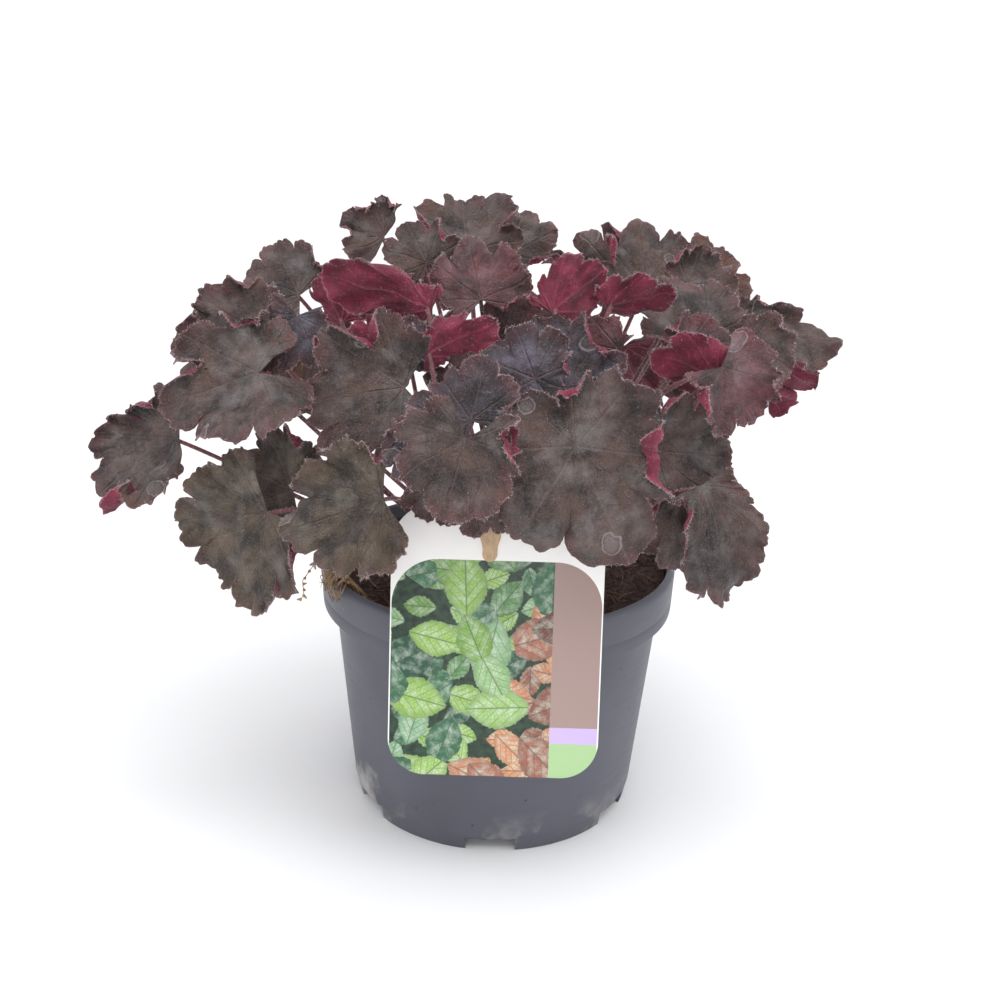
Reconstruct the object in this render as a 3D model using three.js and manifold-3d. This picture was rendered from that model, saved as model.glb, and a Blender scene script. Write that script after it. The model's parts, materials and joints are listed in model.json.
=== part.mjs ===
// A dark-leaved heuchera in its three-litre nursery pot, with the grower's label.
// Millimetres, +Z up. The origin is the middle of the pot's foot, and -Y is the front, where the label hangs.
import * as THREE from "three";
import { mergeVertices } from "three/addons/utils/BufferGeometryUtils.js";
import Module from "manifold-3d";

const wasm = await Module();
wasm.setup();

// ---------------------------------------------------------------- driving dimensions

const GAP = 0.3; // clearance between pieces that touch
const MITRE_LIMIT = 0.6; // least cosine by which a ribbon widens at a bend
const DEGREE = Math.PI / 180;

const POT = {
  height: 138,
  collarRadius: 95,
  collarFootRadius: 94,
  collarHeight: 25,
  lipRadius: 91, // inner edge of the rim
  shoulder: 3, // height of the chamfer outside the rim
  wallTopRadius: 87.5, // outside, just under the collar
  seamRadius: 77.6, // outside, where the wall meets the base
  seamHeight: 10,
  baseRadius: 75.5,
  wall: 1.6,
  floorTop: 8, // the floor is raised, so that water drains under it
  floorUnder: 6,
  footRadius: 12, // the pad in the middle that the mould's gate leaves
  drainRadius: 6,
  drainRing: 45,
  drainSides: 8,
  notchWidth: 26,
  notchHeight: 8,
  notchDepth: 10,
  notches: 6,
  collarStep: 0.6, // height of the taper under the collar
  rimWidth: 1.8, // of the flat on top of the rim
  slope: 1, // how far the floor's and the foot's edges lean
  segments: 36,
};

const SOIL = {
  top: 130,
  lump: 1.1, // half the height of its lumps
  dip: 1, // how far it has sunk
  longWave: [0.31, 0.27, 0.7], // radians a millimetre across and along, and the phase
  slantWave: [-0.23, 0.19, 2],
  rings: 6,
  segments: 28,
};

const CROWN = {
  radius: 27,
  height: 17,
  sink: 9,
  footShare: 0.7, // radius of its foot, as a share of the whole
  aim: 25, // how far a leaf's direction is lifted, and how much of the leaf's own height counts
  aimShare: 0.55,
  rings: 3,
  segments: 18,
  spacing: 5.8, // least distance between two stalks where they leave it
  spreadRounds: 120,
  lowest: 0.3, // least upward share of a stalk's first direction
};

const LABEL = {
  width: 101,
  height: 132,
  thickness: 0.8,
  topCorner: 21,
  footCorner: 18,
  lean: 12.5 * DEGREE, // back from upright
  touchHeight: POT.height - POT.shoulder, // where its back touches the collar
  footHeight: 67,
  cornerSteps: 5,
  clear: 0.5, // between its back and the collar
};

const STAKE = {
  width: 10,
  tipWidth: 7,
  thickness: 0.8,
  slotUp: 121, // height of the slot above the card's foot, along the card
  tabLength: 16, // how far the tab comes down in front of the card
  tabSteps: 4,
  tabNeck: 0.45, // share of the tab that narrows
  tuck: 12, // how far it runs down behind the card
  offset: -4, // the slot's place across the card
  footY: -72,
  footZ: 84,
  slant: 10 * DEGREE, // outwards from upright, where it stands in the soil
  bendUp: 62, // height above its foot where it bends back towards the card
  pointUp: 8, // height of its point, and the point's width
  pointWidth: 3,
  slitWidth: 2.2, // the slit that it stands in
  slitHeight: 80,
};

const SKINS = {
  pot: { color: 0x62626c, roughness: 0.5 },
  soil: { color: 0x35281f, roughness: 1 },
  crown: { color: 0x4a3430, roughness: 0.9 },
  card: { color: 0xeeeeec, roughness: 0.45 },
  fibre: { color: 0xc4aa8c, roughness: 0.7 },
  slate: { color: 0x54474b, roughness: 0.55 },
  wine: { color: 0x7a4b4e, roughness: 0.55 },
  olive: { color: 0x5a5445, roughness: 0.55 },
  amber: { color: 0x634b3c, roughness: 0.6 },
};

// ---------------------------------------------------------------- from geometry to solids and back

// A closed three.js geometry as a manifold-3d solid.
function solidOf(geometry) {
  const bare = geometry.clone();
  bare.deleteAttribute("normal");
  bare.deleteAttribute("uv");
  const merged = mergeVertices(bare, 1e-4);
  return new wasm.Manifold(
    new wasm.Mesh({
      numProp: 3,
      vertProperties: new Float32Array(merged.attributes.position.array),
      triVerts: new Uint32Array(merged.index.array),
    }),
  );
}

// A manifold-3d solid as a three.js geometry.
function geometryOf(solid) {
  const { vertProperties, triVerts, numProp } = solid.getMesh();
  const points = [];
  for (let i = 0; i < vertProperties.length; i += numProp) {
    points.push(vertProperties[i], vertProperties[i + 1], vertProperties[i + 2]);
  }
  const geometry = new THREE.BufferGeometry();
  geometry.setAttribute("position", new THREE.Float32BufferAttribute(points, 3));
  geometry.setIndex([...triVerts]);
  return geometry;
}

// A geometry from a list of vectors and a list of triangles.
function meshOf(points, triangles) {
  const geometry = new THREE.BufferGeometry().setFromPoints(points);
  geometry.setIndex(triangles.flat());
  return geometry;
}

// A profile of [radius, height] pairs turned about Z.
function turned(profile, segments) {
  const points = profile.map(([radius, height]) => new THREE.Vector2(radius, height));
  return new THREE.LatheGeometry(points, segments).rotateX(Math.PI / 2);
}

function piece(name, geometry, skin) {
  const mesh = new THREE.Mesh(geometry, new THREE.MeshStandardMaterial({ ...skin, metalness: 0 }));
  mesh.name = name;
  return mesh;
}

// ---------------------------------------------------------------- pot

// Inside radius of the pot's wall at a height above its floor.
function innerRadius(z) {
  const wallTop = POT.height - POT.collarHeight;
  if (z >= wallTop) return POT.lipRadius;
  const up = (z - POT.seamHeight) / (wallTop - POT.seamHeight);
  return POT.seamRadius + up * (POT.wallTopRadius - POT.seamRadius) - POT.wall;
}

function makePot() {
  const collarFoot = POT.height - POT.collarHeight;
  const footInside = POT.baseRadius - POT.wall;
  const ledge = collarFoot - POT.slope;
  const profile = [
    [0, 0],
    [POT.footRadius, 0],
    [POT.footRadius + POT.slope, POT.floorUnder],
    [footInside - POT.slope, POT.floorUnder],
    [footInside, 0],
    [POT.baseRadius, 0],
    [POT.seamRadius, POT.seamHeight],
    [POT.wallTopRadius, collarFoot],
    [POT.collarFootRadius, collarFoot + POT.collarStep],
    [POT.collarRadius, POT.height - POT.shoulder],
    [POT.lipRadius + POT.rimWidth, POT.height],
    [POT.lipRadius, POT.height],
    [POT.lipRadius, collarFoot + POT.shoulder],
    [innerRadius(ledge), ledge],
    [innerRadius(POT.floorTop), POT.floorTop],
    [0, POT.floorTop],
  ];
  let pot = solidOf(turned(profile, POT.segments));
  for (let i = 0; i < POT.notches; i += 1) {
    const turn = (i * 2 * Math.PI) / POT.notches;
    // Twice the height, so that it cuts through the foot.
    const notch = new THREE.BoxGeometry(POT.notchWidth, POT.notchDepth, 2 * POT.notchHeight);
    notch.translate(0, -POT.baseRadius, 0).rotateZ(turn);
    const drain = new THREE.CylinderGeometry(
      POT.drainRadius,
      POT.drainRadius,
      2 * POT.floorTop,
      POT.drainSides,
    );
    drain.rotateX(Math.PI / 2).translate(0, -POT.drainRing, POT.floorTop).rotateZ(turn);
    pot = pot.subtract(solidOf(notch)).subtract(solidOf(drain));
  }
  return piece("pot", geometryOf(pot), SKINS.pot);
}

// ---------------------------------------------------------------- crown

// The outward direction from the crown's middle towards a leaf.
function crownDirection(joint) {
  return new THREE.Vector3(joint.x, joint.y, (joint.z - SOIL.top) * CROWN.aimShare + CROWN.aim).normalize();
}

// The point of the crown's dome that lies in a direction.
function crownPoint(direction) {
  const { x, y, z } = direction;
  const across = Math.hypot(x, y) / CROWN.radius;
  const reach = 1 / Math.hypot(across, z / CROWN.height);
  return new THREE.Vector3(x * reach, y * reach, SOIL.top + z * reach);
}

// Directions in which the stalks leave the crown: towards their leaves, but spread until their feet clear.
function spreadDirections(joints) {
  const directions = joints.map(crownDirection);
  for (let round = 0; round < CROWN.spreadRounds; round += 1) {
    const spots = directions.map(crownPoint);
    spots.forEach((spot, i) => {
      const push = new THREE.Vector3();
      spots.forEach((other, j) => {
        const gap = spot.distanceTo(other);
        if (i === j || gap >= CROWN.spacing) return;
        push.addScaledVector(spot.clone().sub(other), (CROWN.spacing - gap) / (2 * gap * CROWN.radius));
      });
      const { z } = directions[i].add(push).normalize();
      if (z < CROWN.lowest) directions[i].setZ(CROWN.lowest).normalize();
    });
  }
  return directions;
}

function makeCrown(holes) {
  const profile = [
    [0, SOIL.top - CROWN.sink],
    [CROWN.radius * CROWN.footShare, SOIL.top - CROWN.sink],
  ];
  for (let i = 0; i < CROWN.rings; i += 1) {
    const lift = (i / CROWN.rings) * (Math.PI / 2);
    profile.push([CROWN.radius * Math.cos(lift), SOIL.top + CROWN.height * Math.sin(lift)]);
  }
  profile.push([0, SOIL.top + CROWN.height]);
  let crown = solidOf(turned(profile, CROWN.segments));
  for (const hole of holes) {
    crown = crown.subtract(solidOf(hole));
  }
  return piece("crown", geometryOf(crown), SKINS.crown);
}

// ---------------------------------------------------------------- soil

// Height of the soil's lumpy top.
function soilHeight(x, y) {
  const [longX, longY, longPhase] = SOIL.longWave;
  const [slantX, slantY, slantPhase] = SOIL.slantWave;
  const long = Math.sin(longX * x + longPhase) * Math.cos(longY * y);
  const slant = Math.sin(slantX * x + slantY * y + slantPhase);
  return SOIL.top - SOIL.dip + SOIL.lump * (long + slant);
}

function makeSoil() {
  const collarFoot = POT.height - POT.collarHeight;
  const ledge = collarFoot - POT.slope;
  // The pot's flats stand further in than its corners.
  const clear = (radius) => radius * Math.cos(Math.PI / POT.segments) - GAP;
  const sides = [
    [clear(innerRadius(POT.floorTop)), POT.floorTop + GAP],
    [clear(innerRadius(ledge)), ledge],
    [clear(POT.lipRadius), collarFoot + POT.shoulder + POT.slope],
  ];
  const points = [new THREE.Vector3(0, 0, POT.floorTop + GAP)];
  const ring = (radius, height) => {
    for (let i = 0; i < SOIL.segments; i += 1) {
      const turn = (i * 2 * Math.PI) / SOIL.segments;
      const x = radius * Math.cos(turn);
      const y = radius * Math.sin(turn);
      points.push(new THREE.Vector3(x, y, height ?? soilHeight(x, y)));
    }
  };
  sides.forEach(([radius, height]) => ring(radius, height));
  for (let k = SOIL.rings; k > 0; k -= 1) {
    ring((clear(POT.lipRadius) * k) / SOIL.rings);
  }
  points.push(new THREE.Vector3(0, 0, soilHeight(0, 0)));
  const rings = sides.length + SOIL.rings;
  const at = (k, i) => 1 + k * SOIL.segments + (i % SOIL.segments);
  const triangles = [];
  for (let i = 0; i < SOIL.segments; i += 1) {
    triangles.push([0, at(0, i + 1), at(0, i)]);
    for (let k = 0; k + 1 < rings; k += 1) {
      triangles.push([at(k, i), at(k, i + 1), at(k + 1, i)], [at(k, i + 1), at(k + 1, i + 1), at(k + 1, i)]);
    }
    triangles.push([at(rings - 1, i), at(rings - 1, i + 1), points.length - 1]);
  }
  // The well that the crown sits in, open above.
  const well = CROWN.radius + 2 * GAP;
  const wellFoot = SOIL.top - CROWN.sink - GAP;
  const bed = turned(
    [
      [0, wellFoot],
      [CROWN.radius * CROWN.footShare + 4 * GAP, wellFoot],
      [well, SOIL.top],
      [well, SOIL.top + CROWN.height],
      [0, SOIL.top + CROWN.height],
    ],
    CROWN.segments,
  );
  const slit = new THREE.BoxGeometry(STAKE.width + 2 * GAP, STAKE.slitWidth, STAKE.slitHeight);
  slit.translate(0, 0, STAKE.slitHeight / 2 - STAKE.slitWidth).rotateX(STAKE.slant);
  slit.translate(STAKE.offset, STAKE.footY, STAKE.footZ);
  const soil = solidOf(meshOf(points, triangles)).subtract(solidOf(bed)).subtract(solidOf(slit));
  return piece("soil", geometryOf(soil), SKINS.soil);
}

// ---------------------------------------------------------------- label and its stake

// The group that leans the card on the collar, with the card's back at Y = 0 and the touching line at Z = 0.
function makeHanger() {
  const hanger = new THREE.Group();
  hanger.name = "label_hanger";
  hanger.position.set(0, -POT.collarRadius - LABEL.clear, LABEL.touchHeight);
  hanger.rotation.x = -LABEL.lean;
  return hanger;
}

// The card, drawn upright with its foot at Z = 0.
function makeLabel() {
  const half = LABEL.width / 2;
  const outline = new THREE.Shape();
  const foot = LABEL.footCorner;
  const top = LABEL.topCorner;
  outline.moveTo(-half + foot, 0);
  outline.lineTo(half - foot, 0);
  outline.absarc(half - foot, foot, foot, -Math.PI / 2, 0);
  outline.lineTo(half, LABEL.height - top);
  outline.absarc(half - top, LABEL.height - top, top, 0, Math.PI / 2);
  outline.lineTo(-half + top, LABEL.height);
  outline.absarc(-half + top, LABEL.height - top, top, Math.PI / 2, Math.PI);
  outline.lineTo(-half, foot);
  outline.absarc(-half + foot, foot, foot, Math.PI, 1.5 * Math.PI);
  const slot = new THREE.Path();
  const slotHalf = STAKE.width / 2 + GAP;
  const slotTall = STAKE.thickness / 2 + GAP;
  slot.moveTo(STAKE.offset - slotHalf, STAKE.slotUp - slotTall);
  slot.lineTo(STAKE.offset - slotHalf, STAKE.slotUp + slotTall);
  slot.lineTo(STAKE.offset + slotHalf, STAKE.slotUp + slotTall);
  slot.lineTo(STAKE.offset + slotHalf, STAKE.slotUp - slotTall);
  outline.holes.push(slot);
  const settings = { depth: LABEL.thickness, bevelEnabled: false, curveSegments: LABEL.cornerSteps };
  // Drawn in XY and stood up, so that the extrusion runs from the back, at Y = 0, forwards.
  const card = new THREE.ExtrudeGeometry(outline, settings).rotateX(Math.PI / 2);
  const mesh = piece("label_card", card, SKINS.card);
  mesh.position.z = (LABEL.footHeight - LABEL.touchHeight) / Math.cos(LABEL.lean);
  return mesh;
}

// A flat strip along a line in a YZ plane: the tab in front of the card, the slot and the stake down into the
// soil. Each stop of the line is a place and a width. The tab and the slot are measured on the card.
function makeStake(card) {
  const face = -LABEL.thickness - GAP - STAKE.thickness / 2;
  const up = STAKE.slotUp;
  const behind = GAP + STAKE.thickness / 2;
  const round = STAKE.tipWidth / 2;
  const strip = [];
  for (let i = 1; i <= STAKE.tabSteps; i += 1) {
    const turn = (i / STAKE.tabSteps) * (Math.PI / 2);
    const down = STAKE.tabLength - round + round * Math.cos(turn);
    strip.push([face, up - down, STAKE.tipWidth * Math.sin(turn)]);
  }
  strip.push([face, up - STAKE.tabLength * STAKE.tabNeck, STAKE.width]);
  strip.push([face, up, STAKE.width], [behind, up, STAKE.width], [behind, up - STAKE.tuck, STAKE.width]);
  const line = strip.map(([y, z, width]) => [card.localToWorld(new THREE.Vector3(0, y, z)), width]);
  const shaft = [
    [STAKE.bendUp, STAKE.width],
    [STAKE.pointUp, STAKE.width],
    [0, STAKE.pointWidth],
  ];
  for (const [height, width] of shaft) {
    const spot = new THREE.Vector3(0, 0, height).applyAxisAngle(new THREE.Vector3(1, 0, 0), STAKE.slant);
    line.push([spot.add(new THREE.Vector3(0, STAKE.footY, STAKE.footZ)), width]);
  }
  const stake = piece("label_stake", ribbon(line, STAKE.thickness), SKINS.fibre);
  stake.position.x = STAKE.offset;
  return stake;
}

// A ribbon with a rectangular section along a line in the YZ plane.
function ribbon(line, thickness) {
  const points = [];
  line.forEach(([spot, width], i) => {
    const before = line[Math.max(i - 1, 0)][0];
    const after = line[Math.min(i + 1, line.length - 1)][0];
    const ahead = spot.clone().sub(before).normalize();
    const onward = after.clone().sub(spot).normalize();
    const along = ahead.clone().add(onward).normalize();
    const cosine = Math.max(along.dot(ahead.lengthSq() ? ahead : onward), MITRE_LIMIT);
    const across = new THREE.Vector3(0, along.z, -along.y).multiplyScalar(thickness / 2 / cosine);
    for (const [side, lift] of [[-1, -1], [1, -1], [1, 1], [-1, 1]]) {
      points.push(new THREE.Vector3((side * width) / 2, 0, 0).add(spot).addScaledVector(across, lift));
    }
  });
  const triangles = [[0, 2, 1], [0, 3, 2]];
  const last = points.length - 4;
  for (let i = 0; i < last; i += 4) {
    for (let k = 0; k < 4; k += 1) {
      const next = (k + 1) % 4;
      triangles.push([i + k, i + next, i + 4 + k], [i + next, i + 4 + next, i + 4 + k]);
    }
  }
  triangles.push([last, last + 1, last + 2], [last, last + 2, last + 3]);
  return meshOf(points, triangles);
}

// ---------------------------------------------------------------- leaves

const BLADE = {
  thickness: 0.8,
  sinus: 158 * DEGREE, // half angle of the blade about its joint; the rest is the sinus at the stalk
  lobes: [-140, -99, -51, 0, 51, 99, 140], // middle of each lobe, degrees from the midrib
  halfWidths: [18, 23, 25, 26, 25, 23, 18], // half angle of each lobe, degrees
  samples: [3, 4, 6, 6, 6, 4, 3], // margin points on each lobe of a full-grown leaf
  smallSamples: [2, 3, 4, 4, 4, 3, 2],
  lobeRoundness: 3,
  teeth: 3, // on each lobe
  toothDepth: 0.05,
  backReach: 0.6, // how far the blade reaches behind the joint, as a share of its length
  spread: 0.6, // the power with which it grows from there to the tip
  unevenness: 0.05,
  curlFrom: 0.48, // share of the radius where the blade starts to curl
  creaseWidth: 0.3, // share of the length over which the two halves fold up
  rings: [
    { share: 0.4, full: 9, small: 6 }, // rows of vertices inside the margin
    { share: 0.74, full: 17, small: 11 },
  ],
  outermost: 0.98, // share at which the margin's own direction is read
  normalStep: 0.02, // over which directions are read
  phaseStep: 1.7, // radians by which one leaf's waves differ from the next one's
};

const STALK = {
  radius: 1.35,
  neckRadius: 1.0,
  sides: 4,
  sunk: 5, // length in the crown
  ahead: 2.4, // from the sinus to the stalk's middle
  rise: 0.7, // how far its end turns towards the upper face and the midrib
  lean: 0.25,
  leastRise: 0.4,
  footPull: 0.4, // lengths of the curve's handles, as shares of its own
  neckPull: 0.35,
};

// Angles are degrees: fold lifts the two halves, bend lets the tip droop, cup turns the margin up and ruffle
// waves it. A curl is [direction from the midrib, width, turn].
const PLAIN_LEAF = {
  broad: 1,
  open: 1, // how far its lobes spread round the joint, as a share of the full round
  cut: 0.18, // depth of the clefts between the lobes
  cup: 0,
  fold: 10,
  bend: 25,
  ruffle: 30,
  waves: 7,
  curls: [],
  bow: [0, 0, 0], // how far the stalk's middle stands off its plain curve
  small: false,
  skin: "slate",
};

// How far a flat blade of length 1 reaches in a direction from its joint.
function reach(angle, leaf) {
  const degrees = angle / DEGREE;
  const spread = Math.pow((1 + Math.cos(angle)) / 2, BLADE.spread / (leaf.broad * leaf.broad));
  const back = BLADE.backReach * leaf.broad;
  const full = back + (1 - back) * spread;
  let lobe = BLADE.lobes.findIndex((middle, i) => degrees <= middle + BLADE.halfWidths[i] + 1e-9);
  if (lobe < 0) lobe = BLADE.lobes.length - 1;
  const t = (degrees - BLADE.lobes[lobe]) / BLADE.halfWidths[lobe];
  const round = 1 - leaf.cut * Math.pow(Math.min(Math.abs(t), 1), BLADE.lobeRoundness);
  const tooth = 1 - BLADE.toothDepth * (1 - Math.abs(Math.cos((Math.PI * BLADE.teeth * t) / 2)));
  const uneven = 1 + BLADE.unevenness * Math.sin(3 * angle + leaf.phase);
  return full * round * tooth * uneven;
}

// How far the margin has turned up (or down, below 0) in a direction.
function turnOf(angle, leaf) {
  let turn = leaf.cup + leaf.ruffle * Math.sin(leaf.waves * angle + leaf.phase);
  for (const [middle, width, amount] of leaf.curls) {
    const off = (angle / DEGREE - middle) / width;
    turn += amount * Math.exp(-off * off);
  }
  return turn * DEGREE;
}

// Follows an arc that turns by `angle` over `span` and then runs on straight: [along, up, heading].
function arc(distance, angle, span) {
  if (Math.abs(angle) < 1e-6) return [distance, 0, 0];
  const bent = Math.min(distance, span);
  const heading = (angle * bent) / span;
  const radius = span / angle;
  const rest = distance - bent;
  return [
    radius * Math.sin(heading) + rest * Math.cos(heading),
    radius * (1 - Math.cos(heading)) + rest * Math.sin(heading),
    heading,
  ];
}

// A point of the blade's middle surface in the leaf's own frame: side, forward, up. The direction is as on a
// fully open blade.
function bladePoint(angle, share, leaf) {
  const radius = reach(angle, leaf) * leaf.length;
  const start = Math.min(share, BLADE.curlFrom) * radius;
  const beyond = Math.max(share - BLADE.curlFrom, 0) * radius;
  const [out, lift] = arc(beyond, turnOf(angle, leaf), (1 - BLADE.curlFrom) * radius);
  const side = (start + out) * Math.sin(angle * leaf.open);
  const forward = (start + out) * Math.cos(angle * leaf.open);
  const [across, rise, tilt] = arc(Math.abs(side), leaf.fold * DEGREE, BLADE.creaseWidth * leaf.length);
  const folded = Math.sign(side) * (across - lift * Math.sin(tilt));
  const height = rise + lift * Math.cos(tilt);
  const [along, drop, pitch] = arc(Math.abs(forward), leaf.bend * DEGREE, leaf.length);
  return new THREE.Vector3(
    folded,
    Math.sign(forward) * (along + height * Math.sin(pitch)),
    height * Math.cos(pitch) - drop,
  );
}

function bladeNormal(angle, share, leaf) {
  const step = BLADE.normalStep;
  const around = bladePoint(angle + step, share, leaf).sub(bladePoint(angle - step, share, leaf));
  const outward = bladePoint(angle, share + step, leaf).sub(bladePoint(angle, share - step, leaf));
  return outward.cross(around).negate().normalize();
}

// Angles of the samples along the margin: a few on each lobe, at its teeth and between them.
function marginAngles(leaf) {
  const angles = [];
  BLADE.lobes.forEach((middle, i) => {
    const half = BLADE.halfWidths[i];
    const count = (leaf.small ? BLADE.smallSamples : BLADE.samples)[i];
    for (let k = 0; k < count; k += 1) {
      angles.push((middle + half * ((2 * k) / count - 1)) * DEGREE);
    }
  });
  angles.push(BLADE.sinus);
  return angles;
}

function evenAngles(count) {
  return Array.from({ length: count }, (_, i) => -BLADE.sinus + (2 * BLADE.sinus * i) / (count - 1));
}

// Triangles between two open rows of vertices, the inner and the outer, whose angles both increase.
function stitch(inner, outer, innerAngles, outerAngles) {
  const triangles = [];
  let i = 0;
  let j = 0;
  while (i + 1 < inner.length || j + 1 < outer.length) {
    const stepOuter =
      i + 1 >= inner.length ||
      (j + 1 < outer.length &&
        outerAngles[j] + outerAngles[j + 1] <= innerAngles[i] + innerAngles[i + 1]);
    if (stepOuter) {
      triangles.push([inner[i], outer[j + 1], outer[j]]);
      j += 1;
    } else {
      triangles.push([inner[i], inner[i + 1], outer[j]]);
      i += 1;
    }
  }
  return triangles;
}

// A row of LEAVES with its plain values, and its frame in the part: the blade's joint at the origin, its side
// along X, its midrib along Y and its upper face towards Z.
function leafOf(row, index) {
  const joint = new THREE.Vector3(...row.joint);
  const midrib = new THREE.Vector3(...row.tip).sub(joint);
  const length = midrib.length();
  midrib.normalize();
  const face = new THREE.Vector3(...row.face);
  face.addScaledVector(midrib, -face.dot(midrib)).normalize();
  const place = new THREE.Matrix4().makeBasis(midrib.clone().cross(face), midrib, face).setPosition(joint);
  return { ...PLAIN_LEAF, ...row, phase: index * BLADE.phaseStep, length, joint, midrib, face, place };
}

// The stalk's middle line in the part's frame, from the blade down to its foot in the crown.
function stalkLine(leaf, direction) {
  const mouth = crownPoint(direction);
  const foot = mouth.clone().addScaledVector(direction, -STALK.sunk);
  const end = leaf.joint.clone().addScaledVector(leaf.midrib, STALK.ahead);
  const arrive = end.clone().sub(mouth).normalize();
  arrive.addScaledVector(leaf.face, STALK.rise).addScaledVector(leaf.midrib, STALK.lean).normalize();
  const across = arrive.dot(leaf.face);
  if (across < STALK.leastRise) arrive.addScaledVector(leaf.face, STALK.leastRise - across).normalize();
  const distance = end.distanceTo(mouth);
  const bow = new THREE.Vector3(...leaf.bow);
  const curve = new THREE.CubicBezierCurve3(
    mouth,
    mouth.clone().addScaledVector(direction, distance * STALK.footPull).add(bow),
    end.clone().addScaledVector(arrive, -distance * STALK.neckPull).add(bow),
    end,
  );
  return { foot, direction, curve };
}

// A leaf's solid in its own frame, blade and stalk in one.
function leafGeometry(leaf, stalk) {
  const points = [];
  const add = (point) => points.push(point) - 1;
  const half = BLADE.thickness / 2;

  // Both faces, as rows of vertices at growing shares of the radius, inner row first.
  const rows = BLADE.rings.map(({ share, full, small }) => [share, evenAngles(leaf.small ? small : full)]);
  rows.push([1, marginAngles(leaf)]);
  const layers = [1, -1].map((up) => {
    const apex = add(new THREE.Vector3(0, 0, up * half));
    const lines = rows.map(([share, angles]) =>
      angles.map((angle) => {
        const normal = bladeNormal(angle, Math.min(share, BLADE.outermost), leaf);
        return add(bladePoint(angle, share, leaf).addScaledVector(normal, up * half));
      }),
    );
    return { apex, lines };
  });
  const [upper, lower] = layers;
  const triangles = [];
  const strips = (layer) =>
    [0, 1].flatMap((k) => stitch(layer.lines[k], layer.lines[k + 1], rows[k][1], rows[k + 1][1]));
  triangles.push(...strips(upper));
  triangles.push(...strips(lower).map(([a, b, c]) => [a, c, b]));

  // The middle of the upper face is a fan, and the stalk grows out of the middle of the lower one.
  const hub = add(new THREE.Vector3(0, STALK.ahead, half));
  const loop = [upper.apex, ...upper.lines[0]];
  loop.forEach((from, i) => {
    triangles.push([hub, loop[(i + 1) % loop.length], from]);
  });
  const neckAngles = Array.from({ length: STALK.sides }, (_, i) => ((2 * i) / STALK.sides - 1) * Math.PI);
  const neck = neckAngles.map((angle) => {
    const x = STALK.neckRadius * Math.sin(angle);
    const y = STALK.ahead + STALK.neckRadius * Math.cos(angle);
    return add(new THREE.Vector3(x, y, -half));
  });
  const under = stitch(
    [...neck, neck[0]],
    [lower.apex, ...lower.lines[0], lower.apex],
    [...neckAngles, Math.PI],
    [-Math.PI, ...rows[0][1], Math.PI],
  );
  triangles.push(...under.map(([a, b, c]) => [a, c, b]));

  // The stalk, ring by ring from the neck to the foot.
  const inward = leaf.place.clone().invert();
  const steps = leaf.small ? 3 : 4;
  const stops = [];
  for (let i = 1; i <= steps; i += 1) {
    const t = 1 - i / steps;
    const radius = THREE.MathUtils.lerp(STALK.radius, STALK.neckRadius, t);
    stops.push([stalk.curve.getPoint(t), stalk.curve.getTangent(t), radius]);
  }
  stops.push([stalk.foot, stalk.direction, STALK.radius]);
  let ahead = new THREE.Vector3(1, 0, 0);
  let previous = neck;
  for (const [place, towards, radius] of stops) {
    const middle = place.clone().applyMatrix4(inward);
    const heading = towards.clone().transformDirection(inward);
    ahead = ahead.clone().addScaledVector(heading, -ahead.dot(heading)).normalize();
    const over = heading.clone().cross(ahead);
    const ring = neckAngles.map((angle) => {
      const spot = middle.clone().addScaledVector(ahead, radius * Math.sin(angle));
      return add(spot.addScaledVector(over, radius * Math.cos(angle)));
    });
    triangles.push(...wall(previous, ring));
    previous = ring;
  }
  for (let i = 2; i < STALK.sides; i += 1) {
    triangles.push([previous[0], previous[i - 1], previous[i]]);
  }

  // The margin's edge, once round the blade by way of the sinus.
  const rim = (layer) => [
    layer.apex,
    layer.lines[0][0],
    layer.lines[1][0],
    ...layer.lines[2],
    layer.lines[1].at(-1),
    layer.lines[0].at(-1),
  ];
  triangles.push(...wall(rim(upper), rim(lower)));
  return meshOf(points, triangles);
}

// The band between an upper loop of vertices and the lower loop under it, both clockwise from above.
function wall(upper, lower) {
  return upper.flatMap((_, i) => {
    const next = (i + 1) % upper.length;
    return [
      [upper[next], lower[next], lower[i]],
      [upper[next], lower[i], upper[i]],
    ];
  });
}

// The plain hole in the crown that a stalk stands in. It runs well past the crown's top.
function stalkHole({ foot, direction }) {
  const deep = foot.clone().addScaledVector(direction, -GAP);
  const width = (STALK.radius + 3 * GAP) * Math.SQRT2; // its flats stand clear of the stalk's edges
  const depth = STALK.sunk + CROWN.height;
  const hole = new THREE.BoxGeometry(width, depth, width).rotateY(Math.PI / 4).translate(0, depth / 2, 0);
  const turn = new THREE.Quaternion().setFromUnitVectors(new THREE.Vector3(0, 1, 0), direction);
  return hole.applyQuaternion(turn).translate(deep.x, deep.y, deep.z);
}

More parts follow.
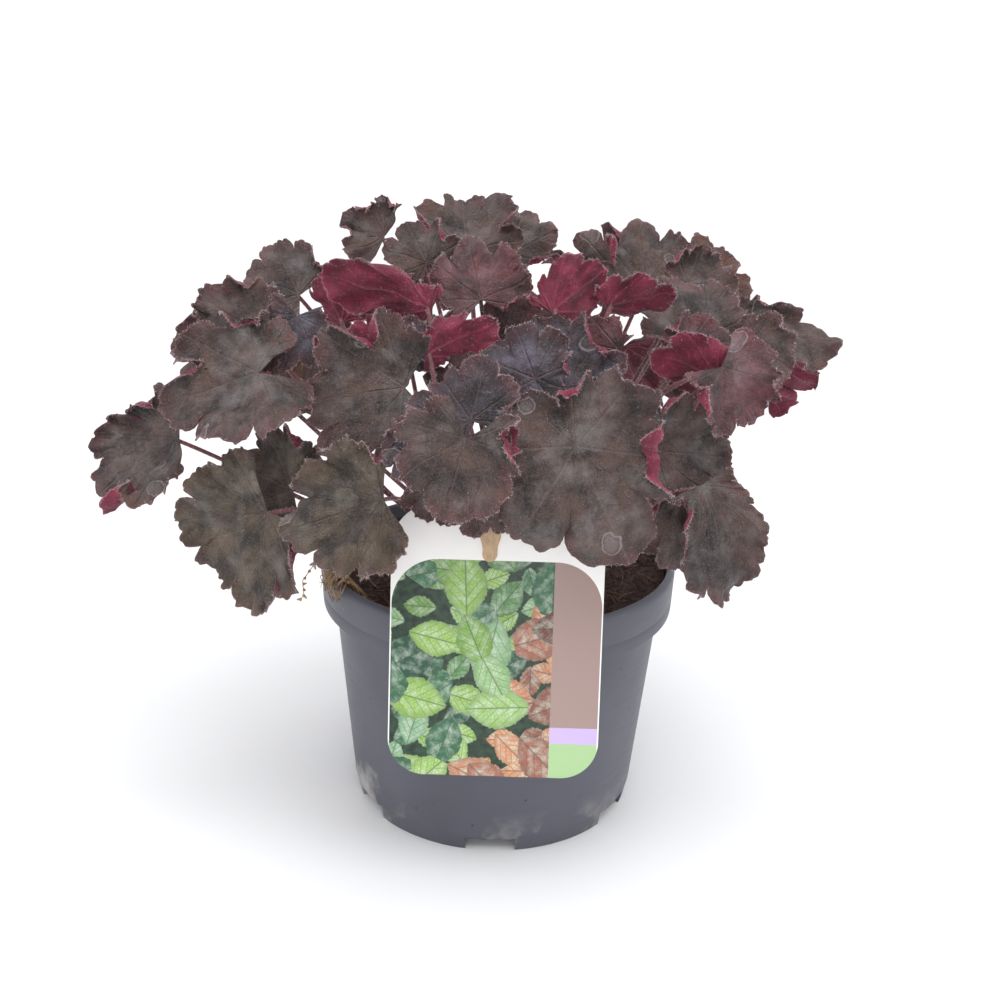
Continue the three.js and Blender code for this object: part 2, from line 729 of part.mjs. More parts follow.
// Each leaf: where its stalk joins the blade, the tip of its middle lobe and the way its upper face looks.
const LEAVES = [
  // left side
  {
    joint: [-157, -50, 214], tip: [-208, -42, 185], face: [-0.2, -0.6, 0.8],
    broad: 0.8, open: 0.6, curls: [[70, 40, 120]],
  },
  { joint: [-113, -74, 254], tip: [-156, -86, 243], face: [-0.3, -0.75, 0.6], open: 0.95, broad: 0.9 },
  {
    joint: [-118, -34, 263], tip: [-164, -36, 260], face: [-0.1, -0.6, 0.8],
    broad: 0.85, open: 0.75, curls: [[35, 25, 110]], bow: [0, -8, 8],
  },
  {
    joint: [-103, -8, 277], tip: [-136, 2, 288], face: [-0.1, -0.75, 0.65],
    open: 0.75, broad: 0.9, bow: [0, 0, 8],
  },
  {
    joint: [-81, -14, 265], tip: [-92, -6, 286], face: [0.2, 0.95, 0],
    fold: 45, open: 0.7, broad: 0.8, small: true, skin: "wine",
  },
  {
    joint: [-35, -39, 279], tip: [-86, -23, 294], face: [0.15, 0.95, 0.2],
    fold: 45, broad: 0.34, open: 0.65, curls: [[60, 40, -70]],
  },
  {
    joint: [-95, -6, 251], tip: [-121, -4, 222], face: [-0.2, -0.9, 0.3],
    open: 0.75, broad: 0.75, small: true, skin: "amber",
  },
  {
    joint: [-98, -50, 276], tip: [-105, -58, 250], face: [-0.1, -0.95, 0.2],
    open: 0.8, broad: 0.8, small: true,
  },
  // top
  {
    joint: [-64, 30, 301], tip: [-86, 38, 311], face: [-0.2, -0.85, 0.5],
    open: 0.62, broad: 1.1, small: true, curls: [[50, 40, 120]],
  },
  { joint: [-40, 2, 293], tip: [-52, 12, 313], face: [-0.1, -0.85, 0.5], open: 0.9, small: true },
  {
    joint: [-20, 24, 296], tip: [-26, 44, 327], face: [0, -0.85, 0.5],
    open: 0.9, broad: 0.9, curls: [[-75, 25, 130]],
  },
  { joint: [0, 42, 292], tip: [10, 60, 316], face: [0.1, -0.85, 0.45], open: 0.9, broad: 0.85 },
  {
    joint: [-12, -30, 282], tip: [-20, -14, 310], face: [0, -0.95, 0.3],
    open: 0.82, broad: 0.95, skin: "wine",
  },
  {
    joint: [6, -26, 261], tip: [12, -19, 287], face: [0.1, -0.9, 0.3],
    open: 0.95, small: true, skin: "wine",
  },
  // middle left
  {
    joint: [-53, -60, 260], tip: [-73, -52, 274], face: [0.2, 0.95, 0.1],
    open: 0.7, broad: 0.6, small: true, bow: [-8, 6, 0],
  },
  { joint: [-47, -51, 260], tip: [-46, -42, 276], face: [0, -0.5, 0.85], cup: 50, open: 0.9, small: true },
  { joint: [-37, -67, 263], tip: [-6, -57, 279], face: [0, 0.9, 0.35], fold: 30, broad: 0.45, open: 0.7 },
  {
    joint: [-45, -77, 250], tip: [-95, -79, 243], face: [-0.15, -0.9, 0.4],
    open: 0.8, broad: 0.85, bow: [4, -8, 0],
  },
  // front, above the label
  {
    joint: [-14, -106, 244], tip: [-30, -92, 264], face: [-0.1, -0.7, 0.7],
    fold: 20, broad: 1.35, open: 0.9,
  },
  {
    joint: [-38, -100, 237], tip: [-45, -110, 217], face: [-0.3, -0.9, 0.3],
    broad: 0.7, open: 0.75, small: true,
  },
  {
    joint: [-15, -132, 244], tip: [-25, -146, 212], face: [-0.1, -0.95, 0.3],
    open: 0.88, broad: 0.92, bow: [0, 6, 16],
  },
  { joint: [-29, -97, 213], tip: [-37, -103, 194], face: [-0.2, -0.95, 0.2], open: 0.8, small: true },
  {
    joint: [-6, -104, 213], tip: [-12, -114, 191], face: [0, -0.95, 0.25],
    open: 0.8, broad: 0.9, small: true, bow: [0, 0, 16],
  },
  // front left, hanging over the rim
  {
    joint: [-52, -110, 207], tip: [-98, -114, 192], face: [-0.25, -0.9, 0.35],
    open: 0.68, broad: 0.82, bow: [0, 0, 16], skin: "olive",
  },
  {
    joint: [-99, -70, 196], tip: [-133, -58, 206], face: [-0.35, -0.85, 0.4],
    open: 0.8, broad: 1, skin: "olive",
  },
  {
    joint: [-108, -90, 192], tip: [-141, -92, 156], face: [-0.3, -0.9, 0.2],
    open: 0.75, broad: 1, bow: [0, 0, 12], skin: "olive",
  },
  {
    joint: [-80, -56, 169], tip: [-79, -66, 159], face: [0.3, 0.8, 0.3],
    open: 0.6, small: true, skin: "olive",
  },
  // centre right
  {
    joint: [14, -92, 260], tip: [-13, -86, 269], face: [-0.2, -0.85, 0.5],
    open: 0.95, broad: 1, small: true, bow: [-10, -14, -8],
  },
  {
    joint: [29, -71, 250], tip: [14, -45, 281], face: [0, -0.9, 0.45],
    open: 1, broad: 0.74, cup: 20, curls: [[150, 30, 60]],
  },
  {
    joint: [-12, -59, 233], tip: [-19, -51, 266], face: [-0.2, -0.9, 0.3],
    open: 0.95, broad: 0.8, small: true, skin: "wine",
  },
  {
    joint: [32, -120, 238], tip: [57, -138, 193], face: [0.1, -0.97, 0.25],
    broad: 0.88, open: 1.08, curls: [[-150, 20, 100], [-100, 14, 100], [48, 22, -75]], bow: [0, 0, 12],
  },
  {
    joint: [69, -98, 230], tip: [108, -92, 226], face: [0.35, -0.9, 0.35],
    broad: 0.9, open: 0.72, curls: [[80, 20, 120]],
  },
  {
    joint: [87, -82, 212], tip: [82, -98, 166], face: [0.1, -0.97, 0.1],
    broad: 0.5, open: 0.62, bow: [-6, 8, -8],
  },
  {
    joint: [88, -120, 222], tip: [114, -126, 165], face: [0.35, -0.95, 0.1],
    broad: 0.45, open: 0.6, curls: [[110, 25, 90]], bow: [2, -6, 5],
  },
  // top right
  { joint: [71, 7, 284], tip: [67, 31, 314], face: [0, -0.9, 0.45], open: 0.78, broad: 0.85 },
  { joint: [57, 42, 284], tip: [38, 52, 304], face: [-0.1, -0.9, 0.4], cut: 0.4, open: 0.8, small: true },
  {
    joint: [104, 46, 276], tip: [124, 56, 295], face: [0.2, -0.85, 0.45],
    open: 0.95, broad: 0.95, skin: "amber",
  },
  { joint: [22, -36, 278], tip: [45, -20, 298], face: [-0.1, 0.95, 0.2], open: 0.75, broad: 0.6, fold: 20 },
  {
    joint: [47, -48, 285], tip: [78, -46, 294], face: [0.05, 0.75, 0.65],
    broad: 0.6, open: 0.75, small: true,
  },
  { joint: [90, -36, 268], tip: [83, -12, 297], face: [0.1, -0.9, 0.45], open: 0.86, broad: 0.8 },
  {
    joint: [91, -4, 287], tip: [112, 4, 300], face: [0.1, -0.75, 0.65],
    open: 0.76, broad: 0.9, small: true, curls: [[-70, 40, 120]],
  },
  // right side
  { joint: [108, -14, 271], tip: [166, -20, 267], face: [0.1, -0.6, 0.8], broad: 0.42, open: 0.65, fold: 15 },
  { joint: [96, -88, 263], tip: [67, -80, 272], face: [0.1, 0.9, 0.4], open: 0.75, broad: 0.66, small: true },
  {
    joint: [95, -103, 271], tip: [115, -103, 245], face: [0.4, -0.9, 0.2],
    open: 0.75, broad: 0.9, small: true, bow: [0, 0, 12],
  },
  {
    joint: [112, -70, 272], tip: [134, -76, 265], face: [0.4, -0.8, 0.4],
    open: 0.8, small: true, bow: [8, -25, -4],
  },
  {
    joint: [85, -62, 267], tip: [108, -54, 272], face: [0.1, -0.75, 0.65],
    open: 0.85, broad: 0.9, small: true,
  },
  {
    joint: [92, -52, 235], tip: [114, -46, 240], face: [0.2, -0.95, 0.3],
    open: 0.8, small: true, skin: "amber",
  },
  {
    joint: [54, -54, 265], tip: [32, -52, 269], face: [-0.1, -0.9, 0.4],
    open: 0.75, broad: 0.8, small: true, skin: "wine",
  },
  // back
  { joint: [-124, 50, 230], tip: [-164, 74, 205], face: [-0.6, 0.6, 0.5], open: 0.8 },
  { joint: [-72, 96, 227], tip: [-88, 132, 192], face: [-0.3, 0.85, 0.4], open: 0.85 },
  { joint: [-20, 75, 270], tip: [-28, 115, 250], face: [-0.1, 0.6, 0.8], open: 0.85 },
  { joint: [-2, 110, 222], tip: [0, 136, 184], face: [0, 0.95, 0.3], open: 0.85 },
  { joint: [70, 98, 230], tip: [88, 128, 192], face: [0.3, 0.85, 0.4], open: 0.8 },
  { joint: [52, 70, 278], tip: [72, 105, 260], face: [0.2, 0.6, 0.8], open: 0.85 },
  { joint: [124, 50, 236], tip: [166, 68, 210], face: [0.6, 0.6, 0.5], open: 0.8 },
];

// ---------------------------------------------------------------- the whole plant

const leaves = LEAVES.map(leafOf);
const directions = spreadDirections(leaves.map(({ joint }) => joint));
const stalks = leaves.map((leaf, i) => stalkLine(leaf, directions[i]));

const foliage = new THREE.Group();
foliage.name = "foliage";
leaves.forEach((leaf, i) => {
  const name = "leaf_" + String(i + 1).padStart(2, "0");
  const mesh = piece(name, leafGeometry(leaf, stalks[i]), SKINS[leaf.skin]);
  mesh.applyMatrix4(leaf.place);
  foliage.add(mesh);
});

const hanger = makeHanger();
const card = makeLabel();
hanger.add(card);
hanger.updateMatrixWorld(true);

const plant = new THREE.Group();
plant.add(makePot(), makeSoil(), makeCrown(stalks.map(stalkHole)), foliage, hanger, makeStake(card));

export default plant;
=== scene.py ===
"""A dark-leaved heuchera in its nursery pot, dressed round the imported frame."""

import functools
import json
import math

import bmesh
import bpy
import numpy as np
from bpy.props import FloatProperty, FloatVectorProperty, IntProperty, PointerProperty
from bpy.types import Operator, Panel, PropertyGroup
from mathutils import Matrix, Vector, noise


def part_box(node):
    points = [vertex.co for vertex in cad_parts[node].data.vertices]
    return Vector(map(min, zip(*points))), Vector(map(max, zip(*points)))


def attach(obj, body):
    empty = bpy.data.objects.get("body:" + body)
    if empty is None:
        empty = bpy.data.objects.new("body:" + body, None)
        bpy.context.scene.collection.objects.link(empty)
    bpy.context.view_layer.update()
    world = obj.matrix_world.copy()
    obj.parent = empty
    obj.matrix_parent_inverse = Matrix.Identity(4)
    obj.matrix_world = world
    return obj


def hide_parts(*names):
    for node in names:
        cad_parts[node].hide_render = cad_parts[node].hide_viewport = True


bl_info = {
    "name": "Potted Heuchera",
    "version": (1, 0, 0),
    "blender": (4, 5, 0),
    "location": "3D View > Sidebar > Heuchera",
    "description": "Grows a dark-leaved heuchera in a nursery pot round its packed frame",
    "category": "Object",
}

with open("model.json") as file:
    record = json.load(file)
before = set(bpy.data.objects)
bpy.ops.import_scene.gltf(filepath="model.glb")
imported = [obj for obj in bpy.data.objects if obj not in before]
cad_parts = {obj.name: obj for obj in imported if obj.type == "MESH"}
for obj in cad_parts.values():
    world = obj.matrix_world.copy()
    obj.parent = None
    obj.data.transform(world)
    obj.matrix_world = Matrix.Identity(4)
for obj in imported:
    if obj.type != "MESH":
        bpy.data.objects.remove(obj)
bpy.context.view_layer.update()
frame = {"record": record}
SLOTS = {row["node"]: row["material_slot"] for row in frame["record"]["subparts"]}

MM = 0.001
PER_CM2 = 1e4  # turns a number on a square centimetre into one on a square metre
BODY = "root"


# ---------------------------------------------------------------- small tools


def linear(colour):
    """An sRGB hex colour as linear red, green and blue."""
    shares = [int(colour[i : i + 2], 16) / 255 for i in (1, 3, 5)]
    return tuple(s / 12.92 if s <= 0.04045 else ((s + 0.055) / 1.055) ** 2.4 for s in shares)


def rgba(colour):
    """A hex colour, or three linear numbers, as the four that a colour socket takes."""
    return (*(linear(colour) if isinstance(colour, str) else tuple(colour)), 1.0)


def add(tree, kind, inputs=None, stops=None, **settings):
    """Adds a node with its settings, its ramp's stops and its inputs, each a value or a socket to link."""
    made = tree.nodes.new(kind)
    for name, value in settings.items():
        setattr(made, name, value)
    if stops:
        ramp = made.color_ramp
        while len(ramp.elements) < len(stops):
            ramp.elements.new(1.0)
        for element, (place, colour) in zip(ramp.elements, stops):
            element.position = place
            element.color = rgba(colour)
    for key, value in (inputs or {}).items():
        if isinstance(value, bpy.types.NodeSocket):
            tree.links.new(value, made.inputs[key])
        else:
            made.inputs[key].default_value = value
    return made


def new_material(name, **surface):
    """A material, its tree and its shader, whose sockets are named with underscores for spaces."""
    material = bpy.data.materials.new(name)
    material.use_nodes = True
    tree = material.node_tree
    tree.nodes.clear()
    shader = add(tree, "ShaderNodeBsdfPrincipled", {key.replace("_", " "): surface[key] for key in surface})
    add(tree, "ShaderNodeOutputMaterial", {"Surface": shader.outputs[0]})
    return material, tree, shader


def lay(tree, shader, **links):
    """Links sockets into a shader's inputs, named in the same way."""
    for name, socket in links.items():
        tree.links.new(socket, shader.inputs[name.replace("_", " ")])


def own_place(tree):
    """The Object coordinates of a piece, in metres."""
    return add(tree, "ShaderNodeTexCoord").outputs["Object"]


def calc(tree, operation, *terms):
    """What a Math node makes of its terms."""
    return add(tree, "ShaderNodeMath", dict(enumerate(terms)), operation=operation).outputs[0]


def remap(tree, value, source=(0.0, 1.0), target=(0.0, 1.0)):
    """A value held between the ends of one range and carried over to another."""
    ends = dict(zip(("From Min", "From Max", "To Min", "To Max"), (*source, *target)))
    return add(tree, "ShaderNodeMapRange", {"Value": value, **ends}).outputs[0]


def mixed(tree, share, below, above):
    """A share of one colour over another, each a hex colour, four numbers or a socket."""
    low, high = (rgba(colour) if isinstance(colour, str) else colour for colour in (below, above))
    return add(tree, "ShaderNodeMix", {0: share, 6: low, 7: high}, data_type="RGBA").outputs[2]


def toned(tree, value, *stops):
    """The colour of a ramp at a value."""
    return add(tree, "ShaderNodeValToRGB", {0: value}, stops).outputs[0]


def cloudy(tree, at, scale, detail, roughness=0.5, distortion=0.0):
    """Noise from 0 to 1."""
    look = {"Scale": scale, "Detail": detail, "Roughness": roughness, "Distortion": distortion}
    return add(tree, "ShaderNodeTexNoise", {"Vector": at, **look}).outputs[0]


def bumped(tree, height, strength, distance):
    """Normals that follow a relief, whose full height is the distance."""
    look = {"Strength": strength, "Distance": distance, "Height": height}
    return add(tree, "ShaderNodeBump", look).outputs[0]


def mesh_from(name, points, faces, smooth=None):
    """A mesh from points in millimetres; smooth is the angle in degrees under which edges are rounded."""
    mesh = bpy.data.meshes.new(name)
    mesh.from_pydata([tuple(p) for p in np.asarray(points) * MM], [], [tuple(f) for f in faces])
    mesh.update()
    if smooth is not None:
        mesh.shade_smooth()
        mesh.set_sharp_from_angle(angle=math.radians(smooth))
    return mesh


def object_of(name, mesh, materials=()):
    """An object at the origin for a mesh, with its materials."""
    made = bpy.data.objects.new(name, mesh)
    bpy.context.scene.collection.objects.link(made)
    for material in materials:
        mesh.materials.append(material)
    return made


def keep_attribute(mesh, name, kind, values):
    """Stores one value, or one vector, for each vertex."""
    layer = mesh.attributes.new(name, kind, "POINT")
    layer.data.foreach_set(
        "vector" if kind == "FLOAT_VECTOR" else "value", np.asarray(values, float).ravel()
    )


def grow(source, tree, values):
    """The plain mesh that a geometry nodes tree makes of an object, with its named inputs set."""
    modifier = source.modifiers.new(tree.name, "NODES")
    modifier.node_group = tree
    for item in tree.interface.items_tree:
        if item.name in values:
            modifier[item.identifier] = values[item.name]
    graph = bpy.context.evaluated_depsgraph_get()
    mesh = bpy.data.meshes.new_from_object(source.evaluated_get(graph))
    source.modifiers.remove(modifier)
    return mesh


def drop(*objects):
    """Removes helper objects."""
    for thing in objects:
        bpy.data.objects.remove(thing)


def with_index(mesh, index):
    """The mesh, with one of its piece's materials on all its faces."""
    mesh.polygons.foreach_set("material_index", [index] * len(mesh.polygons))
    return mesh


def strewn(ground, tree, index, **values):
    """Copies of a small object strewn over an object by its weights, in one of the piece's materials."""
    return with_index(grow(ground, tree, {"Weight": "weight", **values}), index)


def joined(name, meshes):
    """One mesh from several that share their list of materials."""
    whole = bmesh.new()
    for mesh in meshes:
        whole.from_mesh(mesh)
    result = bpy.data.meshes.new(name)
    whole.to_mesh(result)
    whole.free()
    return result


@functools.cache
def model_box():
    """The corners of the box round all solids of the frame."""
    boxes = [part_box(node) for node in SLOTS]
    return np.min([low for low, high in boxes], axis=0), np.max([high for low, high in boxes], axis=0)


def hold_inside(mesh):
    """Lays the few tips and hairs that stand out of the box of the solids flat against it."""
    points = np.empty(3 * len(mesh.vertices))
    mesh.vertices.foreach_get("co", points)
    mesh.vertices.foreach_set("co", np.clip(points.reshape(-1, 3), *model_box()).ravel())
    mesh.update()


def settle(piece, node):
    """The piece rides on the one body and stands for a node of the frame, inside the box of the solids."""
    hold_inside(piece.data)
    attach(piece, BODY)
    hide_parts(node)


def new_tree(name, sockets):
    """A geometry nodes tree with named inputs, and its input and output nodes."""
    tree = bpy.data.node_groups.new(name, "GeometryNodeTree")
    tree.interface.new_socket("Geometry", in_out="INPUT", socket_type="NodeSocketGeometry")
    for label, (kind, value) in sockets.items():
        made = tree.interface.new_socket(label, in_out="INPUT", socket_type="NodeSocket" + kind)
        if value is not None:
            made.default_value = value
    tree.interface.new_socket("Geometry", in_out="OUTPUT", socket_type="NodeSocketGeometry")
    source = add(tree, "NodeGroupInput").outputs
    return tree, source


def close_tree(tree, geometry, material=None):
    """Ends a tree in Realize Instances and, where it has a material, Set Material."""
    plain = add(tree, "GeometryNodeRealizeInstances", {"Geometry": geometry}).outputs[0]
    if material:
        plain = add(tree, "GeometryNodeSetMaterial", {"Geometry": plain, "Material": material}).outputs[0]
    add(tree, "NodeGroupOutput", {"Geometry": plain})
    return tree


def turned(profile, segments):
    """Points and faces of a closed profile of (radius, height) pairs turned about Z, from pole to pole."""
    turns = np.linspace(0, 2 * np.pi, segments, endpoint=False)
    points = [(0, 0, profile[0][1])]
    for radius, height in profile[1:-1]:
        points.extend((radius * math.cos(a), radius * math.sin(a), height) for a in turns)
    points.append((0, 0, profile[-1][1]))
    rings = len(profile) - 2
    faces = []
    for i in range(segments):
        j = (i + 1) % segments
        faces.append((0, 1 + j, 1 + i))
        for k in range(rings - 1):
            low, high = 1 + k * segments, 1 + (k + 1) * segments
            faces.append((low + i, low + j, high + j, high + i))
        last = 1 + (rings - 1) * segments
        faces.append((last + i, last + j, len(points) - 1))
    return points, faces


def fractal(point, size, octaves=4, seed=0.0):
    """Smooth noise from -1 to 1 at a point in millimetres, with features of about that size."""
    place = Vector(point) / size + Vector((seed, seed * 1.7, -seed))
    return noise.fractal(place, 1.0, 2.0, octaves)


# ---------------------------------------------------------------- settings


def colour_setting(name, description, value):
    """A colour property with a hex default."""
    return FloatVectorProperty(
        name=name, description=description, subtype="COLOR", size=3, min=0, max=1, default=linear(value)
    )


def length_setting(name, description, millimetres):
    """A length property with a default in millimetres."""
    return FloatProperty(
        name=name, description=description, subtype="DISTANCE", unit="LENGTH", default=millimetres * MM
    )


class LeafSettings(PropertyGroup):
    """Sizes and colours of the leaves."""

    teeth: IntProperty(name="Teeth", description="Rounded teeth on each lobe, an odd number", default=7)
    tooth_depth: FloatProperty(name="Tooth depth", description="Share of the radius", default=0.025)
    scallop_depth: FloatProperty(name="Scallop depth", description="Share of the radius", default=0.045)
    blade_thickness: length_setting("Blade thickness", "Thickness in the middle of a blade", 0.8)
    margin_thickness: length_setting("Margin thickness", "Thickness at a blade's margin", 0.45)
    hair_length: length_setting("Hair length", "Length of the longest hairs", 1.5)
    stalk_hairs: FloatProperty(
        name="Stalk hairs", description="Hairs on a square centimetre of stalk", default=72
    )
    slate: colour_setting("Slate", "Upper face of most leaves", "#4b3730")
    violet: colour_setting("Violet", "Upper face of the young leaves in the middle", "#3a2e35")
    wine: colour_setting("Wine", "Upper face of the youngest leaves", "#5c2e33")
    olive: colour_setting("Olive", "Upper face of the old leaves", "#524536")
    # Its colour paints the glow of light shining through a leaf from behind.
    amber: colour_setting("Amber", "Leaves with light behind them", "#58361f")
    margin: colour_setting("Margin", "The thin skin along the margin", "#6e3238")
    underside: colour_setting("Underside", "Lower face of the blades", "#6c1731")
    stalk: colour_setting("Stalk", "Skin of the stalks", "#754449")


class PotSettings(PropertyGroup):
    """Sizes and colours of the pot."""

    shell: colour_setting("Shell", "Moulded plastic", "#50515b")
    dust: colour_setting("Dust", "Dried dust and lime on the plastic", "#a8a5a2")
    segments: IntProperty(name="Segments", description="Steps round the pot", default=144)


class SoilSettings(PropertyGroup):
    """Sizes and colours of the soil."""

    peat: colour_setting("Peat", "Moist peat", "#483935")
    straw: colour_setting("Straw", "Dry fibres", "#7d654f")
    crumbs: FloatProperty(name="Crumbs", description="Crumbs on a square centimetre", default=14)


class LabelSettings(PropertyGroup):
    """Colours of the label."""

    card: colour_setting("Card", "Coated card", "#f6f5f2")
    band: colour_setting("Band", "Printed band", "#9d8681")
    lilac: colour_setting("Lilac", "Printed corner", "#c2aede")
    mint: colour_setting("Mint", "Printed foot", "#a3c48f")
    tongue: colour_setting("Tongue", "Brown fibre board", "#cdb08f")


class StageSettings(PropertyGroup):
    """The floor and the light."""

    floor: colour_setting("Floor", "Pale matt floor", "#eeeff1")
    key_power: FloatProperty(
        name="Key light", description="Power of the soft box above", unit="POWER", default=20
    )
    front_power: FloatProperty(
        name="Front light", description="Power of the box in front", unit="POWER", default=10
    )
    side_power: FloatProperty(
        name="Side lights", description="Power of the side boxes", unit="POWER", default=5
    )
    sky: FloatProperty(name="Room light", description="Strength of the light from all round", default=0.5)


# ---------------------------------------------------------------- shared trees


def scatter_tree():
    """Stands copies of a small object on a mesh, turned and scaled at random."""
    tree, source = new_tree(
        "Scatter",
        {
            "Copy": ("Object", None),
            "Density": ("Float", 1000.0),
            "Weight": ("String", "weight"),
            "Smallest": ("Float", 0.5),
            "Largest": ("Float", 1.0),
            "Tilt": ("Float", 0.5),
            "Seed": ("Int", 0),
            "Material": ("Material", None),
        },
    )
    weight = add(tree, "GeometryNodeInputNamedAttribute", {"Name": source["Weight"]}, data_type="FLOAT")
    density = calc(tree, "MULTIPLY", weight.outputs["Attribute"], source["Density"])
    points = add(
        tree,
        "GeometryNodeDistributePointsOnFaces",
        {"Mesh": source["Geometry"], "Density": density, "Seed": source["Seed"]},
    )
    lean = calc(tree, "MULTIPLY", source["Tilt"], -1.0)
    low = add(tree, "ShaderNodeCombineXYZ", {"X": lean, "Y": lean, "Z": -math.pi}).outputs[0]
    high = add(
        tree, "ShaderNodeCombineXYZ", {"X": source["Tilt"], "Y": source["Tilt"], "Z": math.pi}
    ).outputs[0]
    tilt = add(
        tree,
        "FunctionNodeRandomValue",
        {"Min": low, "Max": high, "Seed": source["Seed"]},
        data_type="FLOAT_VECTOR",
    )
    turn = add(
        tree,
        "FunctionNodeRotateRotation",
        {"Rotation": points.outputs["Rotation"], "Rotate By": tilt.outputs["Value"]},
        rotation_space="LOCAL",
    )
    size = add(
        tree,
        "FunctionNodeRandomValue",
        {2: source["Smallest"], 3: source["Largest"], "Seed": source["Seed"]},
        data_type="FLOAT",
    )
    copy = add(tree, "GeometryNodeObjectInfo", {"Object": source["Copy"]}, transform_space="ORIGINAL")
    copies = add(
        tree,
        "GeometryNodeInstanceOnPoints",
        {
            "Points": points.outputs["Points"],
            "Instance": copy.outputs["Geometry"],
            "Rotation": turn.outputs[0],
            "Scale": size.outputs[1],
        },
    )
    return close_tree(tree, copies.outputs[0], source["Material"])


def tube_tree():
    """Draws a round tube, narrower at its end, along a line of edges."""
    tree, source = new_tree(
        "Tube",
        {
            "Start Radius": ("Float", MM),
            "End Radius": ("Float", MM),
            "Sides": ("Int", 8),
            "Steps": ("Int", 24),
            "Material": ("Material", None),
        },
    )
    line = add(tree, "GeometryNodeMeshToCurve", {0: source["Geometry"]})
    even = add(tree, "GeometryNodeResampleCurve", {"Curve": line.outputs[0], "Count": source["Steps"]})
    share = add(tree, "GeometryNodeSplineParameter").outputs["Factor"]
    radius = remap(tree, share, (0.0, 1.0), (source["Start Radius"], source["End Radius"]))
    ring = add(tree, "GeometryNodeCurvePrimitiveCircle", {"Resolution": source["Sides"], "Radius": 1.0})
    tube = add(
        tree,
        "GeometryNodeCurveToMesh",
        {"Curve": even.outputs[0], "Profile Curve": ring.outputs[0], "Scale": radius, "Fill Caps": True},
    )
    return close_tree(tree, tube.outputs[0], source["Material"])


def tube_along(name, line, radii, sides, steps, tree, material):
    """The mesh of a tube along points in millimetres."""
    path = bpy.data.meshes.new(name)
    path.from_pydata(
        [tuple(p) for p in np.asarray(line) * MM], [(i, i + 1) for i in range(len(line) - 1)], []
    )
    helper = object_of(name, path)
    mesh = grow(
        helper,
        tree,
        {
            "Start Radius": radii[0] * MM,
            "End Radius": radii[1] * MM,
            "Sides": sides,
            "Steps": steps,
            "Material": material,
        },
    )
    drop(helper)
    mesh.shade_smooth()
    return mesh


# ---------------------------------------------------------------- leaf materials


def plant_hair():
    """Fine pale hairs: nearly white and rough, so that margins and stalks show a light fringe."""
    return new_material("plant_hair", Base_Color=rgba("#e6dada"), Roughness=0.6, Specular_IOR_Level=0.4)[0]


def vein_lines(tree):
    """Veins from the blade's own measures: the mask of the ribs and their branches, and the edge's distance.

    The attribute holds millimetres: out from the joint, across from the nearest rib, and in from the margin.
    """
    place = add(tree, "ShaderNodeAttribute", attribute_name="blade_mm").outputs["Vector"]
    parts = add(tree, "ShaderNodeSeparateXYZ", {0: place}).outputs
    out, across, inward = parts[0], parts[1], parts[2]
    rib = remap(tree, across, (0.0, 0.9), (1.0, 0.0))
    back = calc(tree, "MULTIPLY_ADD", across, -1.25, out)
    wander = add(tree, "ShaderNodeTexNoise", {"Scale": 160.0, "Detail": 1.0}).outputs[0]
    shifted = calc(tree, "MULTIPLY_ADD", wander, 3.0, back)
    spacing = 8.5
    step = calc(tree, "PINGPONG", shifted, spacing)
    branch = remap(tree, step, (0.0, 0.55), (0.6, 0.0))
    lines = calc(tree, "MAXIMUM", rib, branch)
    return lines, inward


def dried_drops(tree, at, rough):
    """Where drops have dried: pale ragged rings 6 to 11 mm across in a few places, from 0 to 1."""
    shifted = add(tree, "ShaderNodeVectorMath", {0: at, 1: rough}, operation="ADD").outputs[0]
    uneven = add(tree, "ShaderNodeMix", {0: 0.006, 4: at, 5: shifted}, data_type="VECTOR").outputs[1]
    cells = add(tree, "ShaderNodeTexVoronoi", {"Vector": uneven, "Scale": 34.0})
    chance = add(tree, "ShaderNodeSeparateColor", {0: cells.outputs["Color"]}).outputs
    radius = remap(tree, chance[1], (0.0, 1.0), (0.1, 0.19))
    from_ring = calc(tree, "SUBTRACT", cells.outputs["Distance"], radius)
    apart = calc(tree, "ABSOLUTE", from_ring)
    ring = remap(tree, apart, (0.0, 0.018), (0.7, 0.0))
    inside = remap(tree, from_ring, (-0.06, 0.0), (0.28, 0.0))
    mark = calc(tree, "MAXIMUM", ring, inside)
    few = calc(tree, "GREATER_THAN", chance[0], 0.35)
    return calc(tree, "MULTIPLY", mark, few)


